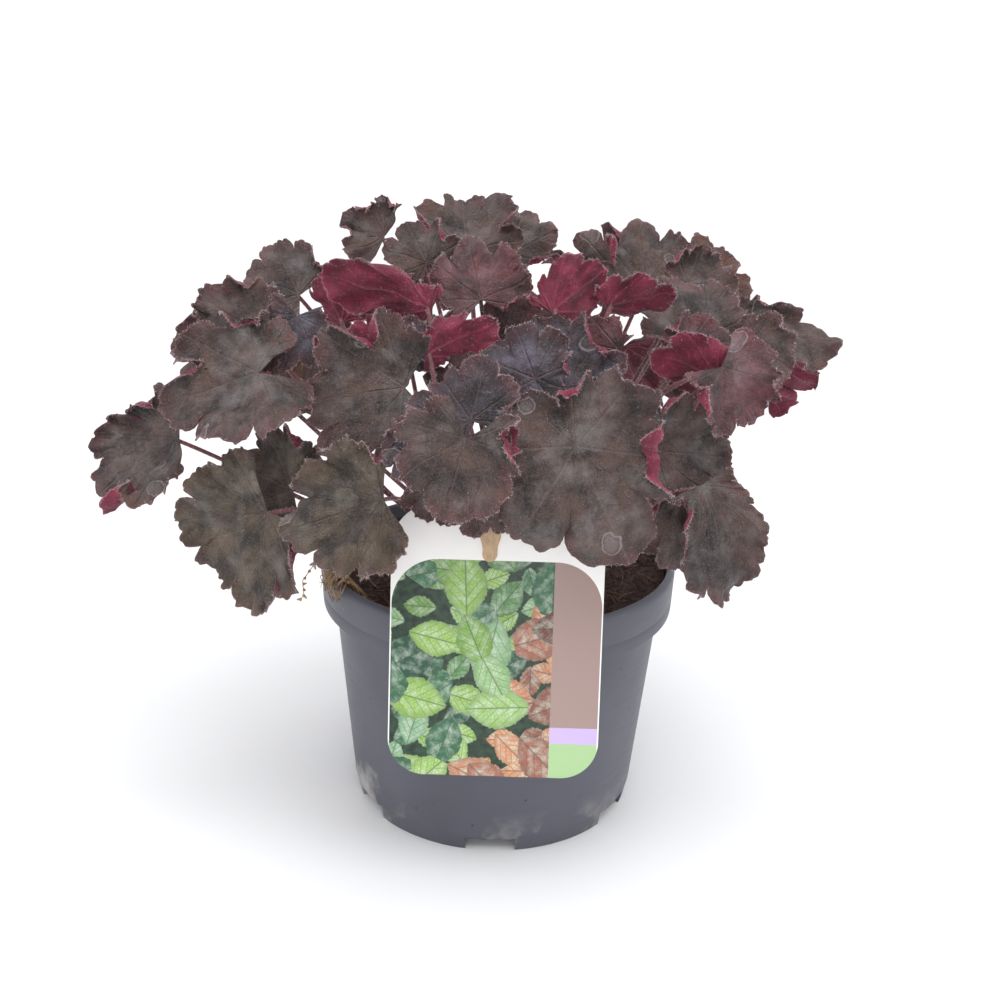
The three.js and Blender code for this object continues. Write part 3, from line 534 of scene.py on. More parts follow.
def leaf_skin(name, face, margin, bloom_and_sheen="#857f7e", roughness=0.5, bloom_and_sheen_strength=0.58):
    """Living leaf skin: brown, cloudy with a pale bloom that also paints its sheen, faintly veined, downy and
    redder near the margin.
    """
    material, tree, shader = new_material(
        name, Specular_IOR_Level=0.5, Sheen_Weight=0.1, Sheen_Roughness=0.4, Sheen_Tint=rgba("#d6d0dc")
    )
    at = own_place(tree)
    lines, inward = vein_lines(tree)
    # Blotches about 16 mm across, from nearly black to the leaf's own brown.
    blotch = cloudy(tree, at, 60.0, 6.0, 0.62)
    deep, full = [c * 0.2 for c in face], [c * 1.15 for c in face]
    tone = toned(tree, blotch, (0.4, deep), (0.6, full))
    # The pale bloom lies in ragged clouds, 10 to 25 mm across, that follow the blisters of the blade: partly
    # the leaf's own silvery bloom, partly a painted sheen that is lightest on the raised blisters.
    cloud = cloudy(tree, at, 56.0, 9.0, 0.66, distortion=0.15)
    ragged = remap(tree, cloud, (0.48, 0.68), (0.0, bloom_and_sheen_strength))
    inner = remap(tree, inward, (0.0, 14.0), (0.3, 1.0))
    bloom_and_sheen_mask = calc(tree, "MULTIPLY", ragged, inner)
    with_bloom_and_sheen = mixed(tree, bloom_and_sheen_mask, tone, bloom_and_sheen)
    # The net of small veins, about 2 mm a mesh, is only a breath lighter than the skin.
    net = add(
        tree, "ShaderNodeTexVoronoi", {"Vector": at, "Scale": 430.0}, feature="DISTANCE_TO_EDGE"
    ).outputs[0]
    mesh = remap(tree, net, (0.0, 0.16), (0.35, 0.0))
    veins = calc(tree, "MAXIMUM", mesh, lines)
    pale = calc(tree, "MULTIPLY", veins, 0.15)
    veined = mixed(tree, pale, with_bloom_and_sheen, "#9a8582")
    # Red shows in patches up to 9 mm from the margin, and along most of its last millimetre.
    rough = cloudy(tree, at, 130.0, 4.0)
    near = calc(tree, "MULTIPLY_ADD", rough, -24.0, inward)
    flushed = remap(tree, near, (-15.0, -5.0), (0.45, 0.0))
    last = remap(tree, inward, (0.1, 0.8), (0.55, 0.0))
    edge = calc(tree, "MAXIMUM", flushed, last)
    rimmed = mixed(tree, edge, veined, rgba(margin))
    # Its very rim is pale with down.
    rim = remap(tree, inward, (0.0, 0.4), (1.0, 0.0))
    patchy = remap(tree, rough, (0.4, 0.65), (0.0, 0.55))
    rim = calc(tree, "MULTIPLY", rim, patchy)
    rimmed = mixed(tree, rim, rimmed, "#a58b8e")
    # Threads of old down cling in pale wisps 1 to 4 mm long, more of them near the margin.
    stretched = add(
        tree, "ShaderNodeMapping", {"Vector": at, "Scale": (1.0, 1.0, 2.4), "Rotation": (0.6, 0.9, 0.3)}
    )
    wisps = cloudy(tree, stretched.outputs[0], 330.0, 2.0, distortion=2.5)
    off = calc(tree, "SUBTRACT", wisps, 0.5)
    thin = calc(tree, "ABSOLUTE", off)
    thread = remap(tree, thin, (0.0, 0.012), (1.0, 0.0))
    where = remap(tree, rough, (0.48, 0.62), (0.0, 0.9))
    drawn = calc(tree, "MULTIPLY", thread, where)
    # Hairs and dust: a fine grain over all, and scattered pale specks under half a millimetre.
    grain = cloudy(tree, at, 1400.0, 3.0, 0.7)
    down = remap(tree, grain, (0.54, 0.8), (0.0, 0.5))
    marked = calc(tree, "MAXIMUM", drawn, dried_drops(tree, at, rough))
    light = calc(tree, "MAXIMUM", down, marked)
    dusty = mixed(tree, light, rimmed, "#a09698")
    relief = calc(tree, "MULTIPLY_ADD", cloud, 2.5, grain)
    blisters = calc(tree, "MULTIPLY_ADD", rough, 2.0, relief)
    sunk = calc(tree, "MULTIPLY_ADD", veins, -0.9, blisters)
    bump = bumped(tree, sunk, 1.0, 0.9 * MM)
    wax = remap(tree, cloud, (0.0, 1.0), (roughness - 0.2, roughness + 0.12))
    lay(tree, shader, Base_Color=dusty, Normal=bump, Roughness=wax)
    return material


def leaf_back(name, colour):
    """The lower face: matt, magenta and downy, with raised veins."""
    material, tree, shader = new_material(
        name,
        Roughness=0.62,
        Specular_IOR_Level=0.4,
        Sheen_Weight=0.25,
        Sheen_Roughness=0.5,
        Sheen_Tint=rgba("#e3b7c4"),
    )
    at = own_place(tree)
    lines, inward = vein_lines(tree)
    blotch = cloudy(tree, at, 110.0, 8.0, 0.65)
    deep = [channel * 0.4 for channel in colour]
    light = [min(1.0, channel * 1.55 + 0.012) for channel in colour]
    tone = toned(tree, blotch, (0.32, deep), (0.52, colour), (0.72, light))
    pale = calc(tree, "MULTIPLY", lines, 0.2)
    veined = mixed(tree, pale, tone, "#a8506a")
    # Down: pale specks, and a pale rim.
    fine = cloudy(tree, at, 900.0, 4.0, 0.7)
    specks = remap(tree, fine, (0.55, 0.78), (0.0, 0.3))
    rim = remap(tree, inward, (0.0, 0.6), (0.4, 0.0))
    down = calc(tree, "MAXIMUM", specks, rim)
    downy = mixed(tree, down, veined, "#bd8694")
    relief = calc(tree, "MULTIPLY_ADD", blotch, 3.0, fine)
    raised = calc(tree, "MULTIPLY_ADD", lines, 0.8, relief)
    bump = bumped(tree, raised, 0.8, 0.7 * MM)
    lay(tree, shader, Base_Color=downy, Normal=bump)
    return material


def stalk_skin(colour):
    """A fleshy, downy stalk: dull red that runs to brown and green, faintly ribbed along its length."""
    material, tree, shader = new_material("stalk_skin", Roughness=0.5, Sheen_Weight=0.2)
    at = own_place(tree)
    long = cloudy(tree, at, 60.0, 3.0)
    tone = toned(tree, long, (0.3, "#4a2f2e"), (0.5, colour), (0.75, "#7c4649"))
    fine = cloudy(tree, at, 1200.0, 2.0)
    bump = bumped(tree, fine, 0.4, 0.2 * MM)
    lay(tree, shader, Base_Color=tone, Normal=bump)
    return material


# ---------------------------------------------------------------- leaf shapes

SOIL_TOP = 130
CROWN = {"radius": 27, "height": 17, "spacing": 5.8, "rounds": 120, "lowest": 0.3, "segments": 90}
STALK = {"radius": 1.35, "neck": 1.0, "sunk": 5, "ahead": 2.4, "points": 22}
# How a stalk comes up to its blade: towards its face and midrib, at least so much towards its face.
ARRIVAL = {"face": 0.7, "midrib": 0.25, "least": 0.4}
HANDLES = (0.4, 0.35)  # of a stalk's curve, at its foot and its neck, in lengths of the stalk

SINUS = math.radians(158)
LOBES = np.array([-140, -99, -51, 0, 51, 99, 140])
HALF_WIDTHS = np.array([18, 23, 25, 26, 25, 23, 18])
# The ribs and clefts of a blade, in degrees from its midrib.
NODES = np.array([-158, -140, -122, -99, -76, -51, -26, 0, 26, 51, 76, 99, 122, 140, 158])
CLEFT_SHARPNESS = 3.8
TOOTH_ROUNDNESS = 0.6
SCALLOPS = 3  # on each lobe, with the teeth on them
CURL_FROM = 0.34
ROLL_FROM = 0.34  # how much later a rolled margin starts than a waved one
CURL_POWER = 2.0  # how much faster a blade turns near its margin, and how much less so where it rolls
ROLL_POWER = 1.0
FRILL = 10  # degrees by which the teeth wave
GAUSS_PLACES, GAUSS_WEIGHTS = np.polynomial.legendre.leggauss(7)
CREASE_WIDTH = 0.3
FULL_ROLL = 130  # degrees
FRILL_FROM = 0.8
FRILL_RATES = (2.9, 1.3)
LOBE_SLOPE = 0.42  # how far from its rib a lobe's edge lies, next to the way from the joint
DOME = 1.5  # height of a pucker between two ribs, in millimetres
RIB = {"width": 0.8, "sunk": 0.12, "raised": 0.75}
THINNING = 12  # how far in from the margin a blade reaches its full thickness
SWELLS = ((37, 2.0), (23, 1.4), (13, 0.75), (7, 0.28))  # lengths and heights of the soft waves
# How densely a blade is haired above, below and along a margin of that width, next to its stalk.
MARGIN_DOWN = {"width": 0.9, "above": 0.01, "below": 0.075, "margin": 2.5}
HAIR_RADIUS = 0.07
HAIRS = {"Smallest": 0.35, "Largest": 1.0, "Tilt": 0.7}
STEM_TUBE = (STALK["radius"], STALK["neck"]), 10, 26
PHASE_STEP = 1.7  # from each leaf to the next, so that no two are waved alike
SHARES = np.array([0.08, 0.2, 0.33, 0.46, 0.58, 0.68, 0.745, 0.8, 0.85, 0.895, 0.94, 0.98, 1.0])
SMALL_SHARES = np.array([0.1, 0.28, 0.46, 0.62, 0.73, 0.82, 0.9, 0.97, 1.0])

PLAIN_LEAF = {
    "broad": 1.0,
    "open": 1.0,
    "cut": 0.18,
    "cup": 0,
    "fold": 10,
    "bend": 25,
    "ruffle": 27,
    "waves": 7,
    "curls": (),
    "rolls": (),
    "bow": (0, 0, 0),
    "small": False,
    "tone": "slate",
}


def grown(joint, tip, face, **traits):
    """A leaf in millimetres: its joint, the tip of its middle lobe and the way its upper face looks.

    Shares are broad, for the blade's width, open, for the spread of its lobes, and cut, for the depth of
    its clefts. Angles are degrees: fold lifts the halves, bend lets the tip droop, cup and ruffle turn the
    margin, and a curl or a roll is a direction from the midrib, a width and a turn. The bow carries the
    middle of the stalk aside.
    """
    return {**PLAIN_LEAF, "joint": joint, "tip": tip, "face": face, **traits}


# A few leaves take the tone whose colour paints the glow of light shining through them from behind.
LEAVES = (
    # left side
    grown((-157, -50, 214), (-208, -42, 185), (-0.2, -0.6, 0.8), broad=0.8, open=0.6,
          curls=((70, 40, 120),)),
    grown((-113, -74, 254), (-156, -86, 243), (-0.3, -0.75, 0.6), open=0.95, broad=0.9,
          rolls=((100, 14, 290), (20, 11, 240))),
    grown((-118, -34, 263), (-164, -36, 260), (-0.1, -0.6, 0.8), broad=0.85, open=0.75,
          curls=((35, 25, 110),), bow=(0, -8, 8)),
    grown((-103, -8, 277), (-136, 2, 288), (-0.1, -0.75, 0.65), open=0.75, broad=0.9, bow=(0, 0, 8)),
    grown((-81, -14, 265), (-92, -6, 286), (0.2, 0.95, 0), fold=45, open=0.7, broad=0.8, small=True,
          tone="wine"),
    grown((-35, -39, 279), (-86, -23, 294), (0.15, 0.95, 0.2), fold=45, broad=0.34, open=0.65,
          curls=((60, 40, -70),)),
    grown((-95, -6, 251), (-121, -4, 222), (-0.2, -0.9, 0.3), open=0.75, broad=0.75, small=True,
          tone="amber"),
    grown((-98, -50, 276), (-105, -58, 250), (-0.1, -0.95, 0.2), open=0.8, broad=0.8, small=True,
          tone="violet"),
    # top
    grown((-64, 30, 301), (-86, 38, 311), (-0.2, -0.85, 0.5), open=0.62, broad=1.1, small=True,
          curls=((50, 40, 120),)),
    grown((-40, 2, 293), (-52, 12, 313), (-0.1, -0.85, 0.5), open=0.9, small=True),
    grown((-20, 24, 296), (-26, 44, 327), (0, -0.85, 0.5), open=0.9, broad=0.9, curls=((-75, 25, 130),)),
    grown((0, 42, 292), (10, 60, 316), (0.1, -0.85, 0.45), open=0.9, broad=0.85),
    grown((-12, -30, 282), (-20, -14, 310), (0, -0.95, 0.3), open=0.82, broad=0.95, tone="wine"),
    grown((6, -26, 261), (12, -19, 287), (0.1, -0.9, 0.3), open=0.95, small=True, tone="wine"),
    # middle left
    grown((-53, -60, 260), (-73, -52, 274), (0.2, 0.95, 0.1), open=0.7, broad=0.6, small=True,
          bow=(-8, 6, 0)),
    grown((-47, -51, 260), (-46, -42, 276), (0, -0.5, 0.85), cup=50, open=0.9, small=True, tone="violet"),
    grown((-37, -67, 263), (-6, -57, 279), (0, 0.9, 0.35), fold=30, broad=0.45, open=0.7),
    grown((-45, -77, 250), (-95, -79, 243), (-0.15, -0.9, 0.4), open=0.8, broad=0.85, bow=(4, -8, 0),
          rolls=((80, 12, 270),)),
    # front, above the label
    grown((-14, -106, 244), (-30, -92, 264), (-0.1, -0.7, 0.7), fold=20, broad=1.35, open=0.9,
          tone="violet"),
    grown((-38, -100, 237), (-45, -110, 217), (-0.3, -0.9, 0.3), broad=0.7, open=0.75, small=True,
          tone="violet"),
    grown((-15, -132, 244), (-25, -146, 212), (-0.1, -0.95, 0.3), open=0.88, broad=0.92, bow=(0, 6, 16),
          rolls=((-120, 16, 290),)),
    grown((-29, -97, 213), (-37, -103, 194), (-0.2, -0.95, 0.2), open=0.8, small=True),
    grown((-6, -104, 213), (-12, -114, 191), (0, -0.95, 0.25), open=0.8, broad=0.9, small=True,
          bow=(0, 0, 16)),
    # front left, hanging over the rim
    grown((-52, -110, 207), (-98, -114, 192), (-0.25, -0.9, 0.35), open=0.68, broad=0.82, bow=(0, 0, 16),
          tone="olive", rolls=((140, 14, 260),)),
    grown((-99, -70, 196), (-133, -58, 206), (-0.35, -0.85, 0.4), open=0.8, broad=1, tone="olive"),
    grown((-108, -90, 192), (-141, -92, 156), (-0.3, -0.9, 0.2), open=0.75, broad=1, bow=(0, 0, 12),
          tone="olive", rolls=((-125, 15, 200),)),
    grown((-80, -56, 169), (-79, -66, 159), (0.3, 0.8, 0.3), open=0.6, small=True, tone="olive"),
    # centre right
    grown((14, -92, 260), (-13, -86, 269), (-0.2, -0.85, 0.5), open=0.95, broad=1, small=True,
          bow=(-10, -14, -8), tone="violet"),
    grown((29, -71, 250), (14, -45, 281), (0, -0.9, 0.45), open=1, broad=0.74, cup=20,
          curls=((150, 30, 60),), tone="violet", rolls=((60, 14, 280),)),
    grown((-12, -59, 233), (-19, -51, 266), (-0.2, -0.9, 0.3), open=0.95, broad=0.8, small=True,
          tone="wine"),
    grown((32, -120, 238), (57, -138, 193), (0.1, -0.97, 0.25), broad=0.88, open=1.13,
          curls=((-150, 20, 100), (-100, 14, 100), (48, 22, -75)), bow=(0, 0, 12),
          rolls=((-54, 15, 320), (100, 9, 330), (-140, 10, 120))),
    grown((69, -98, 230), (108, -92, 226), (0.35, -0.9, 0.35), broad=0.9, open=0.72,
          curls=((80, 20, 120),)),
    grown((87, -82, 212), (82, -98, 166), (0.1, -0.97, 0.1), broad=0.5, open=0.62, bow=(-6, 8, -8)),
    grown((88, -120, 222), (114, -126, 165), (0.35, -0.95, 0.1), broad=0.45, open=0.6,
          curls=((110, 25, 90),), bow=(2, -6, 5), rolls=((120, 14, 290),)),
    # top right
    grown((71, 7, 284), (67, 31, 314), (0, -0.9, 0.45), open=0.78, broad=0.85),
    grown((57, 42, 284), (38, 52, 304), (-0.1, -0.9, 0.4), cut=0.4, open=0.8, small=True),
    grown((104, 46, 276), (124, 56, 295), (0.2, -0.85, 0.45), open=0.95, broad=0.95, tone="amber"),
    grown((22, -36, 278), (45, -20, 298), (-0.1, 0.95, 0.2), open=0.75, broad=0.6, fold=20),
    grown((47, -48, 285), (78, -46, 294), (0.05, 0.75, 0.65), broad=0.6, open=0.75, small=True),
    grown((90, -36, 268), (83, -12, 297), (0.1, -0.9, 0.45), open=0.86, broad=0.8),
    grown((91, -4, 287), (112, 4, 300), (0.1, -0.75, 0.65), open=0.76, broad=0.9, small=True,
          curls=((-70, 40, 120),)),
    # right side
    grown((108, -14, 271), (166, -20, 267), (0.1, -0.6, 0.8), broad=0.42, open=0.65, fold=15),
    grown((96, -88, 263), (67, -80, 272), (0.1, 0.9, 0.4), open=0.75, broad=0.66, small=True),
    grown((95, -103, 271), (115, -103, 245), (0.4, -0.9, 0.2), open=0.75, broad=0.9, small=True,
          bow=(0, 0, 12), tone="wine"),
    grown((112, -70, 272), (134, -76, 265), (0.4, -0.8, 0.4), open=0.8, small=True, bow=(8, -25, -4)),
    grown((85, -62, 267), (108, -54, 272), (0.1, -0.75, 0.65), open=0.85, broad=0.9, small=True,
          tone="wine"),
    grown((92, -52, 235), (114, -46, 240), (0.2, -0.95, 0.3), open=0.8, small=True, tone="amber"),
    grown((54, -54, 265), (32, -52, 269), (-0.1, -0.9, 0.4), open=0.75, broad=0.8, small=True, tone="wine"),
    # back
    grown((-124, 50, 230), (-164, 74, 205), (-0.6, 0.6, 0.5), open=0.8),
    grown((-72, 96, 227), (-88, 132, 192), (-0.3, 0.85, 0.4), open=0.85, tone="olive"),
    grown((-20, 75, 270), (-28, 115, 250), (-0.1, 0.6, 0.8), open=0.85),
    grown((-2, 110, 222), (0, 136, 184), (0, 0.95, 0.3), open=0.85),
    grown((70, 98, 230), (88, 128, 192), (0.3, 0.85, 0.4), open=0.8, tone="olive"),
    grown((52, 70, 278), (72, 105, 260), (0.2, 0.6, 0.8), open=0.85),
    grown((124, 50, 236), (166, 68, 210), (0.6, 0.6, 0.5), open=0.8),
)


def arc(distance, angle, span):
    """Follows an arc that turns by an angle over a span and then runs straight: along, up and heading."""
    turn = np.where(np.abs(angle) < 1e-6, 1e-6, angle)
    bent = np.minimum(distance, span)
    heading = turn * bent / span
    radius = span / turn
    rest = distance - bent
    along = radius * np.sin(heading) + rest * np.cos(heading)
    up = radius * (1 - np.cos(heading)) + rest * np.sin(heading)
    return along, up, heading


def vary(leaf, chance):
    """Gives a leaf its own waves: one value at each rib and cleft, and a few rolled teeth."""
    wave = np.sin(leaf["waves"] * np.radians(NODES) + leaf["phase"])
    size, shift = chance.uniform(0.4, 1.7, len(NODES)), chance.uniform(-9, 9, len(NODES))
    leaf["ripples"] = leaf["ruffle"] * wave * size + shift
    rolls = [
        (side * chance.uniform(50, 150), chance.uniform(11, 17), chance.uniform(110, 230))
        for side in (-1, 1)
    ]
    leaf["curls"] = (*leaf["curls"], *(leaf["rolls"] or rolls))


def curling(distance, turn, span, power):
    """As arc, but the turn quickens with a power of the distance: along and up."""
    share = np.clip(distance / span, 0, 1)
    along, up = np.zeros_like(share), np.zeros_like(share)
    for place, weight in zip((GAUSS_PLACES + 1) / 2, GAUSS_WEIGHTS / 2):
        heading = turn * (share * place) ** power
        along = along + weight * np.cos(heading)
        up = up + weight * np.sin(heading)
    return along * share * span, up * share * span


def lobe_share(angle):
    """Where a direction lies on its lobe, from -1 to 1."""
    degrees = np.degrees(angle)
    edges = (LOBES + HALF_WIDTHS)[:-1]
    lobe = np.searchsorted(edges, degrees - 1e-9)
    return (degrees - LOBES[lobe]) / HALF_WIDTHS[lobe]


def rounded_wave(place, count):
    """Rounded bumps from 0 to 1, with one in the middle of each lobe and a notch at its ends."""
    return np.abs(np.cos(math.pi * count * place / 2)) ** TOOTH_ROUNDNESS


def reach(angle, leaf, settings):
    """How far a flat blade of length 1 reaches in a direction from its joint."""
    spread = ((1 + np.cos(angle)) / 2) ** (0.6 / leaf["broad"] ** 2)
    base = 0.6 * leaf["broad"]
    place = lobe_share(angle)
    cleft = 1 - (leaf["cut"] + 0.03) * leaf["open"] * np.minimum(np.abs(place), 1) ** CLEFT_SHARPNESS
    tooth = 1 - settings.scallop_depth * (1 - rounded_wave(place, SCALLOPS))
    tooth = tooth * (1 - settings.tooth_depth * (1 - rounded_wave(place, settings.teeth)))
    uneven = 1 + 0.05 * np.sin(3 * angle + leaf["phase"])
    return (base + (1 - base) * spread) * cleft * tooth * uneven


def turn_of(angle, leaf):
    """How far the margin has turned up in a direction, in radians, and the share of a full roll, 0 to 1."""
    degrees = np.degrees(angle)
    k = np.clip(np.searchsorted(NODES, degrees) - 1, 0, len(NODES) - 2)
    share = np.clip((degrees - NODES[k]) / (NODES[k + 1] - NODES[k]), 0, 1)
    ease = (1 - np.cos(math.pi * share)) / 2
    ripple = leaf["ripples"][k] * (1 - ease) + leaf["ripples"][k + 1] * ease
    roll = np.zeros_like(angle)
    for middle, width, amount in leaf["curls"]:
        roll = roll + amount * np.exp(-(((degrees - middle) / width) ** 2))
    return np.radians(leaf["cup"] + ripple + roll), np.minimum(np.abs(roll) / FULL_ROLL, 1)


def frill_of(angle, leaf):
    """The slope at which the margin's teeth wave."""
    fast, slow = (rate * leaf["waves"] * angle for rate in FRILL_RATES)
    wave = np.sin(fast + 2 * leaf["phase"]) * np.cos(slow)
    return math.radians(FRILL) * wave


def swell(angle, radius, leaf):
    """Soft waves of the whole blade, in millimetres off its plain surface."""
    side, forward = radius * np.sin(angle), radius * np.cos(angle)
    height = np.zeros_like(radius)
    for k, (length, size) in enumerate(SWELLS):
        way = leaf["phase"] * (k + 1.3) + k
        across = side * math.cos(way) + forward * math.sin(way)
        along = forward * math.cos(way) - side * math.sin(way)
        crest = np.sin(2 * math.pi * across / length + way)
        height = height + size * crest * np.cos(2 * math.pi * along / (1.4 * length))
    return height * np.minimum(radius / 15, 1)


def blade_points(angle, share, leaf, settings):
    """Points of a blade's middle surface in its own frame: side, forward, up."""
    radius = reach(angle, leaf, settings) * leaf["length"]
    turn, roll = turn_of(angle, leaf)
    curl_from = CURL_FROM + ROLL_FROM * roll
    start = np.minimum(share, curl_from) * radius
    beyond = np.maximum(share - curl_from, 0) * radius
    out, lift = curling(beyond, turn, (1 - curl_from) * radius, CURL_POWER - ROLL_POWER * roll)
    lift = lift + frill_of(angle, leaf) * np.maximum(share - FRILL_FROM, 0) * radius
    side = (start + out) * np.sin(angle * leaf["open"])
    forward = (start + out) * np.cos(angle * leaf["open"])
    across, rise, tilt = arc(np.abs(side), math.radians(leaf["fold"]), CREASE_WIDTH * leaf["length"])
    folded = np.sign(side) * (across - lift * np.sin(tilt))
    height = rise + lift * np.cos(tilt)
    along, fall, pitch = arc(np.abs(forward), math.radians(leaf["bend"]), leaf["length"])
    ahead = np.sign(forward) * (along + height * np.sin(pitch))
    return np.stack([folded, ahead, height * np.cos(pitch) - fall], axis=-1)


def blade_normals(angle, share, leaf, settings):
    """Directions in which a blade's upper face looks."""
    step = 0.02
    inner = np.minimum(share, 0.98)
    left, right = (blade_points(angle + way, inner, leaf, settings) for way in (-step, step))
    near, far = (blade_points(angle, inner + way, leaf, settings) for way in (-step, step))
    normal = np.cross(right - left, far - near)
    return normal / np.linalg.norm(normal, axis=-1, keepdims=True)


def blade_grid(leaf, settings):
    """The directions and shares of a blade's vertices: each lobe has a column at its rib and at its ends."""
    steps = settings.teeth * (2 if leaf["small"] else 4)
    shares = SMALL_SHARES if leaf["small"] else SHARES
    columns = [
        np.linspace(middle - half, middle + half, steps, endpoint=False)
        for middle, half in zip(LOBES, HALF_WIDTHS)
    ]
    angles = np.radians(np.concatenate([*columns, [math.degrees(SINUS)]]))
    return np.meshgrid(angles, shares)


def blade_mesh(leaf, settings):
    """Vertices, faces, each face's material and the blade's own measures, in the leaf's frame."""
    angle, share = blade_grid(leaf, settings)
    rows, columns = angle.shape
    middle = blade_points(angle, share, leaf, settings)
    normal = blade_normals(angle, share, leaf, settings)
    radius = reach(angle, leaf, settings) * leaf["length"] * share
    place = np.abs(lobe_share(angle))
    across = radius * place * LOBE_SLOPE
    full = reach(angle, leaf, settings) * leaf["length"]
    inward = (1 - share) * full
    # Soft puckers between the ribs, and the ribs themselves sunk above and raised below.
    dome = DOME * np.cos(place * math.pi / 2) * share**2
    pucker = dome + swell(angle, radius, leaf)
    rib = np.exp(-((across / RIB["width"]) ** 2)) * (1 - share) * np.minimum(share * 8, 1)
    core, margin = settings.blade_thickness / MM, settings.margin_thickness / MM
    half = (margin + (core - margin) * np.minimum(inward / THINNING, 1)) / 2
    lift = {1: pucker + half - RIB["sunk"] * rib, -1: pucker - half - RIB["raised"] * rib}
    points, measures, hairs = [], [], []
    starts = {}
    for up in (1, -1):
        starts[up] = sum(len(block) for block in points)
        apex = np.array([[0, 0, up * core / 2]])
        points.append(np.vstack([apex, (middle + normal * lift[up][..., None]).reshape(-1, 3)]))
        measures.append(
            np.vstack([[0, 0, leaf["length"]], np.stack([radius, across, inward], -1).reshape(-1, 3)])
        )
        near = np.clip(1 - inward / MARGIN_DOWN["width"], 0, 1)
        downy = MARGIN_DOWN["above" if up == 1 else "below"] + MARGIN_DOWN["margin"] * near
        hairs.append(np.concatenate([[0.0], downy.ravel()]))
    at = {up: (lambda r, c, s=starts[up]: s + 1 + r * columns + c) for up in (1, -1)}
    faces, kinds = [], []
    for up in (1, -1):
        spot, apex = at[up], starts[up]
        for c in range(columns - 1):
            fan = (apex, spot(0, c), spot(0, c + 1))
            faces.append(fan[::-up])
            for r in range(rows - 1):
                quad = (spot(r, c), spot(r, c + 1), spot(r + 1, c + 1), spot(r + 1, c))
                faces.append(quad[::up])
        kinds.extend([0 if up == 1 else 1] * (len(faces) - len(kinds)))
    loops = {
        up: [starts[up]]
        + [at[up](r, 0) for r in range(rows)]
        + [at[up](rows - 1, c) for c in range(1, columns)]
        + [at[up](r, columns - 1) for r in range(rows - 2, -1, -1)]
        for up in (1, -1)
    }
    top, foot = loops[1], loops[-1]
    for i in range(len(top)):
        j = (i + 1) % len(top)
        faces.append((top[j], foot[j], foot[i], top[i]))
    kinds.extend([0] * (len(faces) - len(kinds)))
    return np.vstack(points), faces, kinds, np.vstack(measures), np.concatenate(hairs)


def leaf_frame(leaf):
    """The joint, the side, midrib and upper-face directions, and the blade's length."""
    joint = np.array(leaf["joint"], float)
    midrib = np.array(leaf["tip"], float) - joint
    length = np.linalg.norm(midrib)
    midrib = midrib / length
    face = np.array(leaf["face"], float)
    face = face - midrib * face.dot(midrib)
    face = face / np.linalg.norm(face)
    return joint, np.cross(midrib, face), midrib, face, length


def crown_point(direction):
    """The point of the crown's dome that lies in a direction."""
    across = math.hypot(direction[0], direction[1]) / CROWN["radius"]
    out = 1 / math.hypot(across, direction[2] / CROWN["height"])
    return np.array([0, 0, SOIL_TOP]) + direction * out


def stalk_directions(joints):
    """Directions in which the stalks leave the crown: towards their leaves, their feet held apart."""
    towards = np.array([(x, y, (z - SOIL_TOP) * 0.55 + 25) for x, y, z in joints])
    directions = towards / np.linalg.norm(towards, axis=1, keepdims=True)
    for _ in range(CROWN["rounds"]):
        spots = np.array([crown_point(d) for d in directions])
        for i, spot in enumerate(spots):
            apart = spot - spots
            gap = np.linalg.norm(apart, axis=1)
            near = (gap < CROWN["spacing"]) & (gap > 0)
            weight = (CROWN["spacing"] - gap[near]) / (2 * gap[near] * CROWN["radius"])
            moved = directions[i] + (apart[near] * weight[:, None]).sum(axis=0)
            moved = moved / np.linalg.norm(moved)
            if moved[2] < CROWN["lowest"]:
                moved[2] = CROWN["lowest"]
                moved = moved / np.linalg.norm(moved)
            directions[i] = moved
    return directions


def stalk_line(place, direction, bow):
    """Points along a stalk, from its foot in the crown to the blade's joint."""
    joint, _, midrib, face, _ = place
    mouth = crown_point(direction)
    end = joint + midrib * STALK["ahead"]
    chord = (end - mouth) / np.linalg.norm(end - mouth)
    arrive = chord + face * ARRIVAL["face"] + midrib * ARRIVAL["midrib"]
    arrive = arrive / np.linalg.norm(arrive)
    across = arrive.dot(face)
    if across < ARRIVAL["least"]:
        arrive = arrive + face * (ARRIVAL["least"] - across)
        arrive = arrive / np.linalg.norm(arrive)
    distance = np.linalg.norm(end - mouth)
    bow = np.array(bow)
    leave = mouth + direction * distance * HANDLES[0] + bow
    reached = end - arrive * distance * HANDLES[1] + bow
    line = [mouth - direction * STALK["sunk"]]
    for t in np.linspace(0, 1, STALK["points"]):
        s = 1 - t
        line.append(s**3 * mouth + 3 * s * s * t * leave + 3 * s * t * t * reached + t**3 * end)
    return np.array(line)


# ---------------------------------------------------------------- leaf operator


